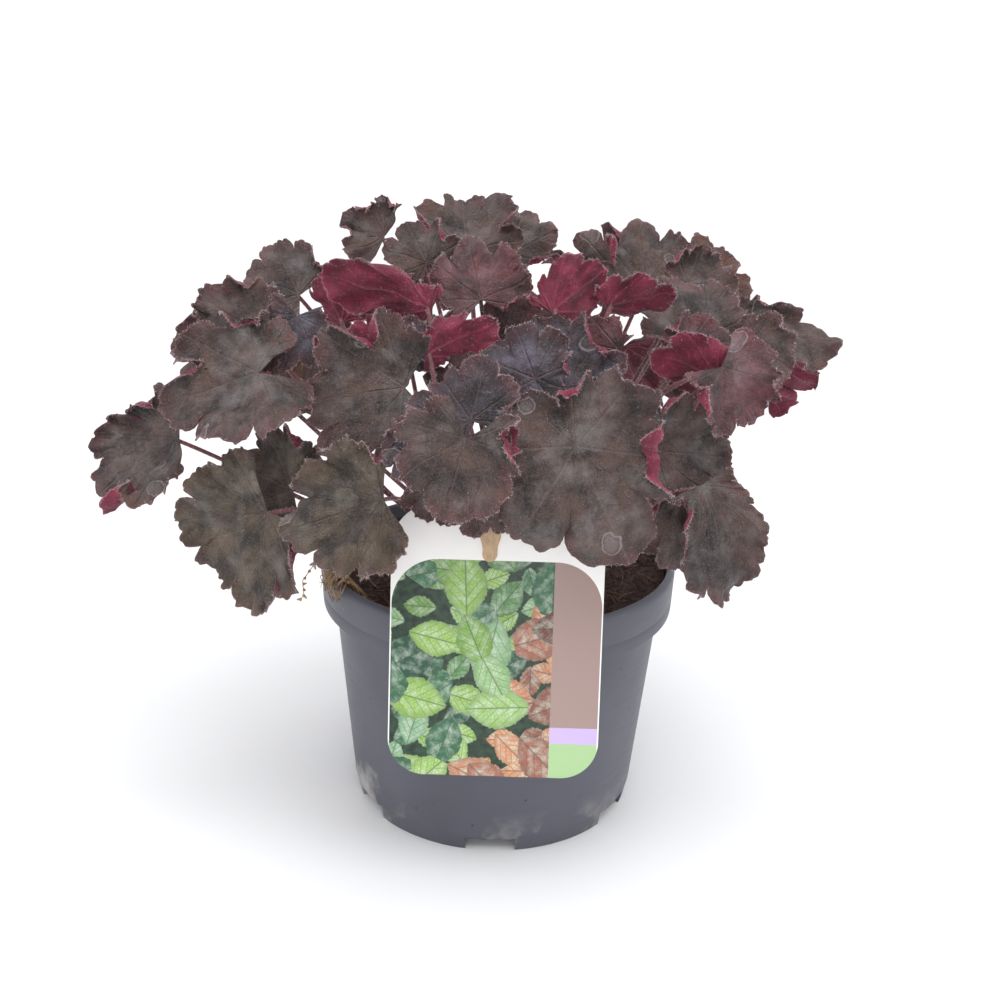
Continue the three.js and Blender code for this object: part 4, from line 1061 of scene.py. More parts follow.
class HEUCHERA_OT_grow_leaves(Operator):
    """Grow the blades, stalks and hairs of all the leaves"""

    bl_idname = "heuchera.grow_leaves"
    bl_label = "Grow the leaves"

    def execute(self, context):
        settings = context.scene.heuchera_leaves
        margin = settings.margin
        skins = {
            # The fourth colour of each skin is its pale bloom, which also paints the leaf's sheen.
            "slate": leaf_skin("leaf_skin_slate", settings.slate, margin),
            "violet": leaf_skin("leaf_skin_violet", settings.violet, margin, "#7d7c92", 0.45),
            "wine": leaf_skin("leaf_skin_wine", settings.wine, margin, "#94757c", 0.5, 0.5),
            "olive": leaf_skin("leaf_skin_olive", settings.olive, linear("#683f33"), "#8c8478", 0.5),
            # This skin paints the glow of light through a backlit leaf into its colour.
            "amber": leaf_skin("leaf_skin_amber", settings.amber, margin, "#70564a", 0.55, 0.4),
        }
        back = leaf_back("leaf_underside", settings.underside)
        dull = leaf_back("leaf_underside_old", [c * 0.7 for c in settings.underside])
        stalk, hair = stalk_skin(settings.stalk), plant_hair()
        hair_copy = object_of("hair_copy", cone_mesh(HAIR_RADIUS, settings.hair_length / MM))
        scatter, tube = scatter_tree(), tube_tree()
        rows = [{**row, "phase": i * PHASE_STEP} for i, row in enumerate(LEAVES)]
        places = [leaf_frame(leaf) for leaf in rows]
        directions = stalk_directions([place[0] for place in places])
        for i, (leaf, place, direction) in enumerate(zip(rows, places, directions)):
            node = f"leaf_{i + 1:02d}"
            leaf["length"] = place[4]
            vary(leaf, np.random.RandomState(i))
            joint, side, midrib, face, _ = place
            local, faces, kinds, measures, downy = blade_mesh(leaf, settings)
            points = joint + local @ np.array([side, midrib, face])
            blade = mesh_from(node + "_blade", points, faces, smooth=50)
            blade.polygons.foreach_set("material_index", kinds)
            keep_attribute(blade, "blade_mm", "FLOAT_VECTOR", measures)
            keep_attribute(blade, "weight", "FLOAT", downy)
            line = stalk_line(place, direction, leaf["bow"])
            stem = with_index(tube_along(node, line, *STEM_TUBE, tube, stalk), 2)
            keep_attribute(stem, "weight", "FLOAT", np.ones(len(stem.vertices)))
            fringes = []
            for k, bare in enumerate((blade, stem)):
                helper = object_of(bare.name, bare)
                look = {"Density": settings.stalk_hairs * PER_CM2, "Seed": 2 * i + k, **HAIRS}
                fringes.append(strewn(helper, scatter, 3, Copy=hair_copy, Material=hair, **look))
                drop(helper)
            whole = joined("heuchera_" + node, [blade, stem, *fringes])
            lower = dull if leaf["tone"] == "olive" else back
            settle(object_of("heuchera_" + node, whole, (skins[leaf["tone"]], lower, stalk, hair)), node)
        drop(hair_copy)
        return {"FINISHED"}


def cone_mesh(radius, length):
    """A closed three-sided spike that stands on its base, for hairs."""
    turns = [2 * math.pi * k / 3 for k in range(3)]
    points = [(radius * math.cos(a), radius * math.sin(a), 0) for a in turns] + [(0, 0, length)]
    return mesh_from("spike", points, [(0, 2, 1), (0, 1, 3), (1, 2, 3), (2, 0, 3)])


# ---------------------------------------------------------------- pot

POT_PROFILE = (
    (0, 0), (11.4, 0), (12, 0.6), (13, 6), (72.9, 6), (73.6, 0.8), (74.2, 0), (75, 0.1),
    (75.6, 0.8), (77.2, 9.2), (77.6, 9.8), (77.75, 10.6), (87.4, 111.6), (87.6, 112.6),
    (88.4, 113.2), (93.2, 113.4), (93.9, 113.8), (94.05, 114.6), (94.35, 120.2), (94.15, 120.7),
    (94.35, 121.2), (94.95, 134.2), (94.75, 135.6), (94.1, 136.8), (93, 137.7), (92.2, 138),
    (91.6, 137.8), (91.1, 137.2), (91, 136.4), (91, 116.6), (90.4, 115.2), (86.2, 112.4),
    (85.9, 111.4), (76.1, 10.4), (75.4, 8.4), (74, 8), (0, 8),
)
CRUST = (-68, -36, 6)  # where dust has dried on the foot
NOTCH = {"deep": 10, "wide": 26, "high": 8}
OPENINGS = {
    "Count": 6,
    "Turn": math.radians(30),
    "Notch Size": (NOTCH["deep"] * MM, NOTCH["wide"] * MM, 2 * NOTCH["high"] * MM),
    "Notch Ring": 75.5 * MM,
    "Drain Radius": 6 * MM,
    "Drain Ring": 45 * MM,
}


def openings_tree():
    """Cuts notches out of a pot's foot and drain holes through its floor, evenly round Z."""
    tree, source = new_tree(
        "Openings",
        {
            "Count": ("Int", 6),
            "Turn": ("Float", 0.0),
            "Notch Size": ("Vector", (MM, MM, MM)),
            "Notch Ring": ("Float", MM),
            "Drain Radius": ("Float", MM),
            "Drain Ring": ("Float", MM),
        },
    )
    index = add(tree, "GeometryNodeInputIndex").outputs[0]
    part = calc(tree, "DIVIDE", 2 * math.pi, source["Count"])
    turn = calc(tree, "MULTIPLY", index, part)
    spin = add(tree, "ShaderNodeCombineXYZ", {"Z": turn}).outputs[0]
    notch = add(tree, "GeometryNodeMeshCube", {"Size": source["Notch Size"]}).outputs[0]
    drain = add(
        tree,
        "GeometryNodeMeshCylinder",
        {"Vertices": 32, "Radius": source["Drain Radius"], "Depth": 20 * MM},
    )
    cutters = []
    for ring, shape in ((source["Notch Ring"], notch), (source["Drain Ring"], drain.outputs[0])):
        spots = add(
            tree, "GeometryNodeMeshCircle", {"Vertices": source["Count"], "Radius": ring}
        ).outputs[0]
        stood = add(
            tree, "GeometryNodeInstanceOnPoints", {"Points": spots, "Instance": shape, "Rotation": spin}
        )
        cutters.append(add(tree, "GeometryNodeRealizeInstances", {"Geometry": stood.outputs[0]}).outputs[0])
    pair = add(tree, "GeometryNodeJoinGeometry")
    for cutter in cutters:
        tree.links.new(cutter, pair.inputs[0])
    about = add(tree, "ShaderNodeCombineXYZ", {"Z": source["Turn"]}).outputs[0]
    turned_pair = add(tree, "GeometryNodeTransform", {"Geometry": pair.outputs[0], "Rotation": about})
    cut = add(
        tree,
        "GeometryNodeMeshBoolean",
        {"Mesh 1": source["Geometry"], "Mesh 2": turned_pair.outputs[0]},
        operation="DIFFERENCE",
        solver="EXACT",
    )
    return close_tree(tree, cut.outputs[0])


def moulded_shell(settings):
    """Moulded polypropylene: blue-grey, fine-grained and half matt, scuffed, dusty near the foot."""
    material, tree, shader = new_material("moulded_polypropylene", IOR=1.49, Specular_IOR_Level=0.5)
    at = own_place(tree)
    cloud = cloudy(tree, at, 14.0, 5.0)
    shell = settings.shell
    darker = [c * 0.84 for c in shell]
    lighter = [c * 1.16 for c in shell]
    tone = toned(tree, cloud, (0.3, darker), (0.7, lighter))
    # Scuffs run mostly round the pot: noise that is drawn out along the surface.
    wide = add(tree, "ShaderNodeMapping", {"Vector": at, "Scale": (1.0, 1.0, 9.0)}).outputs[0]
    scuff = cloudy(tree, wide, 55.0, 8.0, 0.75)
    worn = remap(tree, scuff, (0.62, 0.74), (0.0, 0.28))
    scuffed = mixed(tree, worn, tone, "#8e8f96")
    # Lime and dust dry on the lowest 25 mm, in patches.
    height = add(tree, "ShaderNodeSeparateXYZ", {0: at}).outputs[2]
    low = remap(tree, height, (2 * MM, 26 * MM), (1.0, 0.0))
    patch = cloudy(tree, at, 24.0, 6.0, 0.65)
    spots = remap(tree, patch, (0.54, 0.68), (0.0, 0.8))
    limed = calc(tree, "MULTIPLY", low, spots)
    # One side of the foot stood in the dust: a pale crust with a ragged edge.
    far = add(
        tree, "ShaderNodeVectorMath", {0: at, 1: [c * MM for c in CRUST]}, operation="DISTANCE"
    ).outputs["Value"]
    spread = calc(tree, "MULTIPLY_ADD", patch, -0.06, far)
    crust = remap(tree, spread, (-0.018, -0.009), (0.85, 0.0))
    limed = calc(tree, "MAXIMUM", limed, crust)
    dusted = mixed(tree, limed, scuffed, rgba(settings.dust))
    # Crumbs of peat, a millimetre or less.
    speck = add(
        tree, "ShaderNodeTexVoronoi", {"Vector": at, "Scale": 75.0, "Randomness": 1.0}
    ).outputs["Distance"]
    crumb = remap(tree, speck, (0.035, 0.06), (0.8, 0.0))
    soiled = mixed(tree, crumb, dusted, "#33261f")
    gloss = remap(tree, scuff, (0.0, 1.0), (0.34, 0.6))
    grain = cloudy(tree, at, 2600.0, 2.0)
    bump = bumped(tree, grain, 0.25, 0.08 * MM)
    lay(tree, shader, Base_Color=soiled, Roughness=gloss, Normal=bump)
    return material


class HEUCHERA_OT_mould_pot(Operator):
    """Turn the pot's shell and cut its notches and drain holes"""

    bl_idname = "heuchera.mould_pot"
    bl_label = "Mould the pot"

    def execute(self, context):
        settings = context.scene.heuchera_pot
        points, faces = turned(POT_PROFILE, settings.segments)
        helper = object_of("pot_blank", mesh_from("pot_blank", points, faces))
        mesh = grow(helper, openings_tree(), OPENINGS)
        drop(helper)
        mesh.materials.clear()
        mesh.shade_smooth()
        mesh.set_sharp_from_angle(angle=math.radians(32))
        settle(object_of("nursery_pot", mesh, [moulded_shell(settings)]), "pot")
        return {"FINISHED"}


# ---------------------------------------------------------------- soil and crown


def peat(name, colour, light="#6b5648"):
    """Moist peat: very dark, rough and fibrous, with lighter flecks."""
    material, tree, shader = new_material(name, Roughness=0.95, Specular_IOR_Level=0.25)
    at = own_place(tree)
    grain = cloudy(tree, at, 330.0, 8.0, 0.7)
    deep = [c * 0.45 for c in colour]
    tone = toned(tree, grain, (0.36, deep), (0.56, colour), (0.75, light))
    bump = bumped(tree, grain, 1.0, 1.2 * MM)
    lay(tree, shader, Base_Color=tone, Normal=bump)
    return material


def dry_fibre(name, colour):
    """Dry plant fibre: matt straw colour with darker streaks."""
    material, tree, shader = new_material(name, Roughness=0.8, Specular_IOR_Level=0.3)
    at = own_place(tree)
    streak = cloudy(tree, at, 240.0, 4.0)
    dark = [c * 0.35 for c in colour]
    tone = toned(tree, streak, (0.35, dark), (0.6, colour))
    lay(tree, shader, Base_Color=tone)
    return material


def soil_height(x, y):
    """Height of the soil's top: the frame's slow waves and a loose, crumbly surface."""
    waves = math.sin(0.31 * x + 0.7) * math.cos(0.27 * y) + math.sin(0.19 * y - 0.23 * x + 2)
    return SOIL_TOP - 1 + 1.1 * waves + 1.5 * fractal((x, y, 0), 7, 5)


def rock_mesh():
    """A lump of 20 faces, a millimetre in radius and a little flattened."""
    lump = bmesh.new()
    bmesh.ops.create_icosphere(lump, subdivisions=1, radius=MM, matrix=Matrix.Diagonal((1, 0.8, 0.6, 1)))
    mesh = bpy.data.meshes.new("lump")
    lump.to_mesh(mesh)
    lump.free()
    return mesh


SOIL = {"segments": 120, "rings": 44, "foot": 74, "step": (86.5, 111), "clear": 0.3}
BARE_RIM = 89  # no crumbs lie farther out
CRUMBS = {"Smallest": 0.3, "Largest": 1.3, "Tilt": 0.9, "Seed": 3}
# The radii at both ends of a fibre, in millimetres, its sides and its steps.
STRAW_TUBE = (0.2, 0.1), 4, 6
MOSS_TUBE = (0.35, 0.18), 4, 10
SPRIG_TUBE = (0.5, 0.2), 5, 24
POD_TUBE = (0.95, 0.35), 5, 3
STRAWS = {"Density": 2.2 * PER_CM2, "Smallest": 0.25, "Largest": 1.4, "Tilt": 0.6, "Seed": 8}
SCALES = {"Density": 8 * PER_CM2, "Smallest": 0.5, "Largest": 1.0, "Tilt": 0.5, "Seed": 5}
THATCH = {"turn": -151.5, "spread": 8, "fibres": 34, "over": 140, "outside": 96.2}
# The dried flower stalk, in millimetres: out of the soil, over the rim and down outside it.
SPRIG = (
    (-62, -30, 127), (-70, -33, 138), (-78, -36, 147), (-86, -38, 152), (-91, -39, 149),
    (-95, -40, 143), (-100, -42, 136), (-99, -43, 130), (-101, -43, 125),
)


def round_the_pot(radius, degrees, height):
    """A point in millimetres at a distance and a direction from the pot's axis."""
    turn = math.radians(degrees)
    return (radius * math.cos(turn), radius * math.sin(turn), height)


def thatch_meshes(tree, material):
    """Moss fibres that hang over the rim in a tuft, and a dried flower stalk with its pods."""
    chance = np.random.RandomState(4)

    def strayed(radius, degrees, height):
        return round_the_pot(radius + chance.uniform(0, 2), degrees + chance.uniform(-3, 3), height)

    meshes = []
    for _ in range(THATCH["fibres"]):
        turn = THATCH["turn"] + chance.uniform(-1, 1) * THATCH["spread"]
        over, fall = THATCH["over"] + chance.uniform(0, 2.5), chance.uniform(1, 10)
        lean = chance.uniform(-3, 3)
        out = THATCH["outside"] + chance.uniform(0, 1.5)
        line = [
            round_the_pot(84 + chance.uniform(-4, 3), turn - lean, 131),
            round_the_pot(90, turn, over),
            round_the_pot(95, turn + lean / 2, over + 0.5),
            round_the_pot(out, turn + lean, over - 0.3 * fall - 2),
            strayed(out, turn + lean, over - 0.6 * fall - 2),
            round_the_pot(out, turn + lean + chance.uniform(-4, 4), over - 0.8 * fall - 2),
            strayed(out, turn + lean, over - fall - 2),
        ]
        meshes.append(tube_along("thatch", line, *MOSS_TUBE, tree, material))
    meshes.append(tube_along("sprig", SPRIG, *SPRIG_TUBE, tree, material))
    for start, end in zip(SPRIG[3:-1], SPRIG[4:]):
        for share in (0.25, 0.75):
            knot = np.array(start) * (1 - share) + np.array(end) * share
            tip = knot + chance.uniform(-1, 1, 3) * (2.2, 1.2, 1.6) + (0, 0, -1.2)
            meshes.append(tube_along("pod", [knot, tip], *POD_TUBE, tree, material))
    return meshes


class HEUCHERA_OT_fill_soil(Operator):
    """Fill the pot with peat, its crumbs and its fibres"""

    bl_idname = "heuchera.fill_soil"
    bl_label = "Fill in the soil"

    def execute(self, context):
        settings = context.scene.heuchera_soil
        low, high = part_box("soil")
        foot, rim, rings = low.z / MM, high.x / MM - SOIL["clear"], SOIL["rings"]
        profile = [(0, foot), (SOIL["foot"], foot), SOIL["step"]]
        profile += [(rim * k / rings, None) for k in range(rings, -1, -1)]
        points, faces = turned(profile, SOIL["segments"])
        points = [(x, y, soil_height(x, y) if z is None else z) for x, y, z in points]
        mesh = mesh_from("soil_bed", points, faces, smooth=60)
        top = [z > SOIL_TOP - 10 and math.hypot(x, y) < BARE_RIM for x, y, z in points]
        keep_attribute(mesh, "weight", "FLOAT", top)
        bed_skin = peat("moist_peat", settings.peat)
        bed = object_of("soil_bed", mesh, [bed_skin])
        scatter = scatter_tree()
        straw = dry_fibre("dry_straw", settings.straw)
        crumb_copy = object_of("crumb_copy", rock_mesh())
        arch = [
            (t * 9 - 4.5, 0.8 * math.sin(3 * t), 0.6 + 0.8 * math.sin(math.pi * t))
            for t in np.linspace(0, 1, 5)
        ]
        straw_copy = object_of("straw_copy", tube_along("straw", arch, *STRAW_TUBE, tube_tree(), straw))
        density = settings.crumbs * PER_CM2
        crumbs = strewn(bed, scatter, 0, Copy=crumb_copy, Density=density, Material=bed_skin, **CRUMBS)
        straws = strewn(bed, scatter, 1, Copy=straw_copy, Material=straw, **STRAWS)
        moss = dry_fibre("moss_fibre", linear("#b99872"))
        thatch = [with_index(fibre, 2) for fibre in thatch_meshes(tube_tree(), moss)]
        drop(crumb_copy, straw_copy)
        whole = joined("potting_soil", [bed.data, crumbs, straws, *thatch])
        drop(bed)
        settle(object_of("potting_soil", whole, [bed_skin, straw, moss]), "soil")
        return {"FINISHED"}


class HEUCHERA_OT_form_crown(Operator):
    """Form the woody crown that the stalks grow from"""

    bl_idname = "heuchera.form_crown"
    bl_label = "Form the crown"

    def execute(self, context):
        settings = context.scene.heuchera_soil
        radius, height = CROWN["radius"], CROWN["height"]
        turns = np.linspace(0, math.pi / 2, 24)[:-1]
        profile = [(0, SOIL_TOP - 9), (radius * 0.7, SOIL_TOP - 9)]
        profile += [(radius * math.cos(a), SOIL_TOP + height * math.sin(a)) for a in turns]
        profile.append((0, SOIL_TOP + height))
        points, faces = turned(profile, CROWN["segments"])
        rough = []
        for point in points:
            outward = Vector((point[0], point[1], max(point[2] - SOIL_TOP, 0))).normalized()
            rough.append(Vector(point) + outward * (1.6 * fractal(point, 6, 5, 4.0) - 1.2))
        mesh = mesh_from("crown_dome", rough, faces, smooth=50)
        keep_attribute(mesh, "weight", "FLOAT", [1.0 if p[2] > SOIL_TOP else 0.0 for p in rough])
        bark = peat("leaf_bases", linear("#4b342d"), "#80604c")
        dry = dry_fibre("dry_scales", [c * 0.6 for c in settings.straw])
        dome = object_of("crown_dome", mesh, [bark])
        scale_copy = object_of("scale_copy", cone_mesh(1.1, 6.5))
        scales = strewn(dome, scatter_tree(), 1, Copy=scale_copy, Material=dry, **SCALES)
        whole = joined("woody_crown", [dome.data, scales])
        drop(dome, scale_copy)
        settle(object_of("woody_crown", whole, [bark, dry]), "crown")
        return {"FINISHED"}


# ---------------------------------------------------------------- label

LABEL = {"width": 101, "height": 132, "thickness": 0.8, "top_corner": 21, "foot_corner": 18}
LABEL_LEAN = math.radians(12.5)
LABEL_TOUCH = 135
LABEL_FOOT = 67
COLLAR = 95.5
STAKE = {"width": 10, "tip": 7, "thickness": 0.8, "slot_up": 121, "tab": 16, "offset": -4}
STAKE_FOOT = (-72, 84)
STAKE_SLANT = math.radians(10)
STAKE_BEND = 62
GAP = 0.3
# The print, in millimetres right of the card's middle and up from its foot. Its fields end past the card.
PANEL = {"inside": 0.6, "foot": -30.0, "top": 105.5, "corner": 22.0}
BAND = (27.0, 60.0)
LILAC = (-5.0, 25.0)
MINT = (-5.0, 17.0)
CARD_BEVEL = 0.08
CORNER_STEPS = 16
WARM_FROM = -12  # how far to the right the print's leaves turn warm


def hung(points):
    """Places points drawn upright in XZ, in millimetres, on the pot's collar, leaning back."""
    up = (LABEL_TOUCH - LABEL_FOOT) / math.cos(LABEL_LEAN)
    place = (
        Matrix.Translation((0, -COLLAR, LABEL_TOUCH))
        @ Matrix.Rotation(-LABEL_LEAN, 4, "X")
        @ Matrix.Translation((0, 0, -up))
    )
    return [place @ Vector(p) for p in points]


def corner(centre, radius, start):
    """Points of a quarter circle."""
    turns = np.linspace(start, start + math.pi / 2, CORNER_STEPS)
    return [(centre[0] + radius * math.cos(a), centre[1] + radius * math.sin(a)) for a in turns]


def printed_leaves(tree, at, size, seed, share, cool, warm):
    """A layer of oval leaves strewn over a print, cool on one side and warm on the other: mask and colour."""
    shift = (seed * 7.3, seed * 3.1, 0)
    moved = add(tree, "ShaderNodeVectorMath", {0: at, 1: shift}, operation="ADD").outputs[0]
    cells = add(
        tree,
        "ShaderNodeTexVoronoi",
        {"Vector": moved, "Scale": 1 / size, "Randomness": 0.75},
        voronoi_dimensions="2D",
    ).outputs
    offset = add(
        tree, "ShaderNodeVectorMath", {0: moved, 1: cells["Position"]}, operation="SUBTRACT"
    ).outputs[0]
    chance = add(tree, "ShaderNodeSeparateColor", {0: cells["Color"]}).outputs
    angle = calc(tree, "MULTIPLY", chance[0], 2 * math.pi)
    spun = add(
        tree, "ShaderNodeVectorRotate", {"Vector": offset, "Angle": angle}, rotation_type="Z_AXIS"
    ).outputs[0]
    parts = add(tree, "ShaderNodeSeparateXYZ", {0: spun}).outputs
    along = calc(tree, "MULTIPLY", parts[0], 1 / (size * 0.54))
    across = calc(tree, "ABSOLUTE", parts[1])
    square = calc(tree, "MULTIPLY", along, along)
    width = size * 0.35
    bulge = calc(tree, "MULTIPLY_ADD", square, -width, width)
    frayed = cloudy(tree, spun, 0.8, 2.0)
    ragged = calc(tree, "MULTIPLY_ADD", frayed, 2.4, bulge)
    inside = calc(tree, "SUBTRACT", ragged, across)
    shape = remap(tree, inside, (1.2, 1.5))
    chosen = calc(tree, "LESS_THAN", chance[1], share)
    mask = calc(tree, "MULTIPLY", shape, chosen)
    # The colour of a leaf follows from where its middle lies.
    middle = add(
        tree, "ShaderNodeVectorMath", {0: cells["Position"], 1: shift}, operation="SUBTRACT"
    ).outputs[0]
    x, z, _ = add(tree, "ShaderNodeSeparateXYZ", {0: middle}).outputs
    place = calc(tree, "MULTIPLY_ADD", z, -0.45, x)
    warmth = calc(tree, "GREATER_THAN", place, WARM_FROM)
    tones = [toned(tree, chance[2], *stops) for stops in (cool, warm)]
    tone = mixed(tree, warmth, tones[0], tones[1])
    cloud = cloudy(tree, spun, 0.22, 3.0)
    silver = remap(tree, cloud, (0.42, 0.7), (0.0, 0.5))
    tone = mixed(tree, silver, tone, "#cfdccb")
    # A dark midrib, side veins that leave it at an angle, and the net between them.
    slant = calc(tree, "MULTIPLY_ADD", across, 1.1, parts[0])
    wave = calc(tree, "PINGPONG", slant, size * 0.09)
    net = add(
        tree,
        "ShaderNodeTexVoronoi",
        {"Vector": spun, "Scale": 0.55},
        voronoi_dimensions="2D",
        feature="DISTANCE_TO_EDGE",
    ).outputs[0]
    dark = 0.0
    for value, far, depth in (
        (wave, 0.5, 0.6), (across, 0.6, 0.75), (net, 0.12, 0.4), (inside, size * 0.2, 0.55)
    ):
        line = remap(tree, value, (0.0, far), (depth, 0.0))
        dark = calc(tree, "MAXIMUM", line, dark)
    drawn = mixed(tree, dark, tone, "#21352a")
    return mask, drawn


def within(tree, value, low, high, soft=0.06):
    """A mask that is 1 where a value lies between two bounds."""
    rises = remap(tree, value, (low - soft, low + soft))
    falls = remap(tree, value, (high - soft, high + soft), (1.0, 0.0))
    return calc(tree, "MULTIPLY", rises, falls)


def rounded_mask(tree, x, z, box, radius):
    """A mask that is 1 inside a box (left, foot, right, top) with rounded corners."""
    left, foot, right, top = box
    overs = []
    for value, low, high in ((x, left, right), (z, foot, top)):
        centred = calc(tree, "SUBTRACT", value, (low + high) / 2)
        size = calc(tree, "ABSOLUTE", centred)
        over = calc(tree, "SUBTRACT", size, (high - low) / 2 - radius)
        overs.append(calc(tree, "MAXIMUM", over, 0.0))
    flat = add(tree, "ShaderNodeCombineXYZ", {"X": overs[0], "Y": overs[1]}).outputs[0]
    far = add(tree, "ShaderNodeVectorMath", {0: flat}, operation="LENGTH").outputs["Value"]
    return within(tree, far, -1.0, radius)


def printed_card(settings):
    """Coated card with a print: a satin white ground, a panel of plain foliage and bands of flat colour."""
    material, tree, shader = new_material("coated_card", Roughness=0.38, Specular_IOR_Level=0.5)
    place = add(tree, "ShaderNodeAttribute", attribute_name="card_mm").outputs["Vector"]
    x, front, z = add(tree, "ShaderNodeSeparateXYZ", {0: place}).outputs
    flat = add(tree, "ShaderNodeCombineXYZ", {"X": x, "Y": z}).outputs[0]
    cool = [(0.0, "#24503a"), (0.35, "#3f7350"), (0.6, "#7fa94a"), (0.8, "#9cc163"), (1.0, "#86ad8c")]
    warm = [(0.0, "#6d4038"), (0.5, "#b0705c"), (1.0, "#e0a070")]
    murk = cloudy(tree, flat, 0.3, 5.0)
    picture = toned(tree, murk, (0.35, "#13221a"), (0.7, "#2f4a35"))
    for size, seed, share in ((15, 5, 1.0), (21, 3, 0.9), (30, 11, 0.75), (25, 19, 0.5)):
        mask, colour = printed_leaves(tree, flat, size, seed, share, cool, warm)
        picture = mixed(tree, mask, picture, colour)
    tinted = mixed(tree, within(tree, x, *BAND), picture, rgba(settings.band))
    patches = (
        (within(tree, z, *LILAC), settings.lilac),
        (within(tree, z, *MINT), settings.mint),
    )
    for height, colour in patches:
        column = within(tree, x, *BAND)
        both = calc(tree, "MULTIPLY", height, column)
        tinted = mixed(tree, both, tinted, rgba(colour))
    right = LABEL["width"] / 2 - PANEL["inside"]
    panel = rounded_mask(tree, x, z, (-right, PANEL["foot"], right, PANEL["top"]), PANEL["corner"])
    faced = calc(tree, "LESS_THAN", front, -LABEL["thickness"] * 0.7)
    shown = calc(tree, "MULTIPLY", panel, faced)
    colour = mixed(tree, shown, rgba(settings.card), tinted)
    grain = cloudy(tree, place, 2.2, 3.0)
    bump = bumped(tree, grain, 0.12, 0.05 * MM)
    lay(tree, shader, Base_Color=colour, Normal=bump)
    return material


def fibre_board(colour):
    """Unbleached fibre board: warm brown and matt, with long fibres."""
    material, tree, shader = new_material("fibre_board", Roughness=0.82, Specular_IOR_Level=0.3)
    at = own_place(tree)
    drawn = add(tree, "ShaderNodeMapping", {"Vector": at, "Scale": (1.0, 1.0, 0.25)}).outputs[0]
    streak = cloudy(tree, drawn, 900.0, 6.0)
    darker = [c * 0.72 for c in colour]
    tone = toned(tree, streak, (0.3, darker), (0.7, colour))
    bump = bumped(tree, streak, 0.35, 0.15 * MM)
    lay(tree, shader, Base_Color=tone, Normal=bump)
    return material


class HEUCHERA_OT_cut_label(Operator):
    """Cut the label's card, with its rounded corners and its slot, and lean it on the pot"""

    bl_idname = "heuchera.cut_label"
    bl_label = "Cut the label"

    def execute(self, context):
        settings = context.scene.heuchera_label
        half, tall = LABEL["width"] / 2, LABEL["height"]
        top, foot = LABEL["top_corner"], LABEL["foot_corner"]
        outline = corner((half - foot, foot), foot, -math.pi / 2)
        outline += corner((half - top, tall - top), top, 0)
        outline += corner((-half + top, tall - top), top, math.pi / 2)
        outline += corner((-half + foot, foot), foot, math.pi)
        slot_half, slot_tall = STAKE["width"] / 2 + GAP, STAKE["thickness"] / 2 + GAP
        left, right = STAKE["offset"] - slot_half, STAKE["offset"] + slot_half
        low, high = STAKE["slot_up"] - slot_tall, STAKE["slot_up"] + slot_tall
        slot = [(left, low), (left, high), (right, high), (right, low)]
        curve = bpy.data.curves.new("card_outline", "CURVE")
        curve.dimensions = "2D"
        curve.fill_mode = "BOTH"
        curve.extrude = (LABEL["thickness"] / 2 - CARD_BEVEL) * MM
        curve.bevel_depth = CARD_BEVEL * MM
        curve.bevel_resolution = 1
        curve.offset = -CARD_BEVEL * MM
        for loop in (outline, slot):
            spline = curve.splines.new("POLY")
            spline.points.add(len(loop) - 1)
            for point, (x, y) in zip(spline.points, loop):
                point.co = (x * MM, y * MM, 0, 1)
            spline.use_cyclic_u = True
        helper = object_of("card_outline", curve)
        graph = bpy.context.evaluated_depsgraph_get()
        mesh = bpy.data.meshes.new_from_object(helper.evaluated_get(graph))
        drop(helper)
        solid = bmesh.new()
        solid.from_mesh(mesh)
        bmesh.ops.remove_doubles(solid, verts=solid.verts, dist=1e-6)
        bmesh.ops.recalc_face_normals(solid, faces=solid.faces)
        solid.to_mesh(mesh)
        solid.free()
        # Drawn flat with its face up, then stood up so that its back is at Y = 0.
        flat = [v.co / MM for v in mesh.vertices]
        upright = [Vector((p.x, -p.z - LABEL["thickness"] / 2, p.y)) for p in flat]
        keep_attribute(mesh, "card_mm", "FLOAT_VECTOR", upright)
        for vertex, spot in zip(mesh.vertices, hung(upright)):
            vertex.co = spot * MM
        mesh.shade_smooth()
        mesh.set_sharp_from_angle(angle=math.radians(30))
        settle(object_of("label_card_dressed", mesh, [printed_card(settings)]), "label_card")
        return {"FINISHED"}


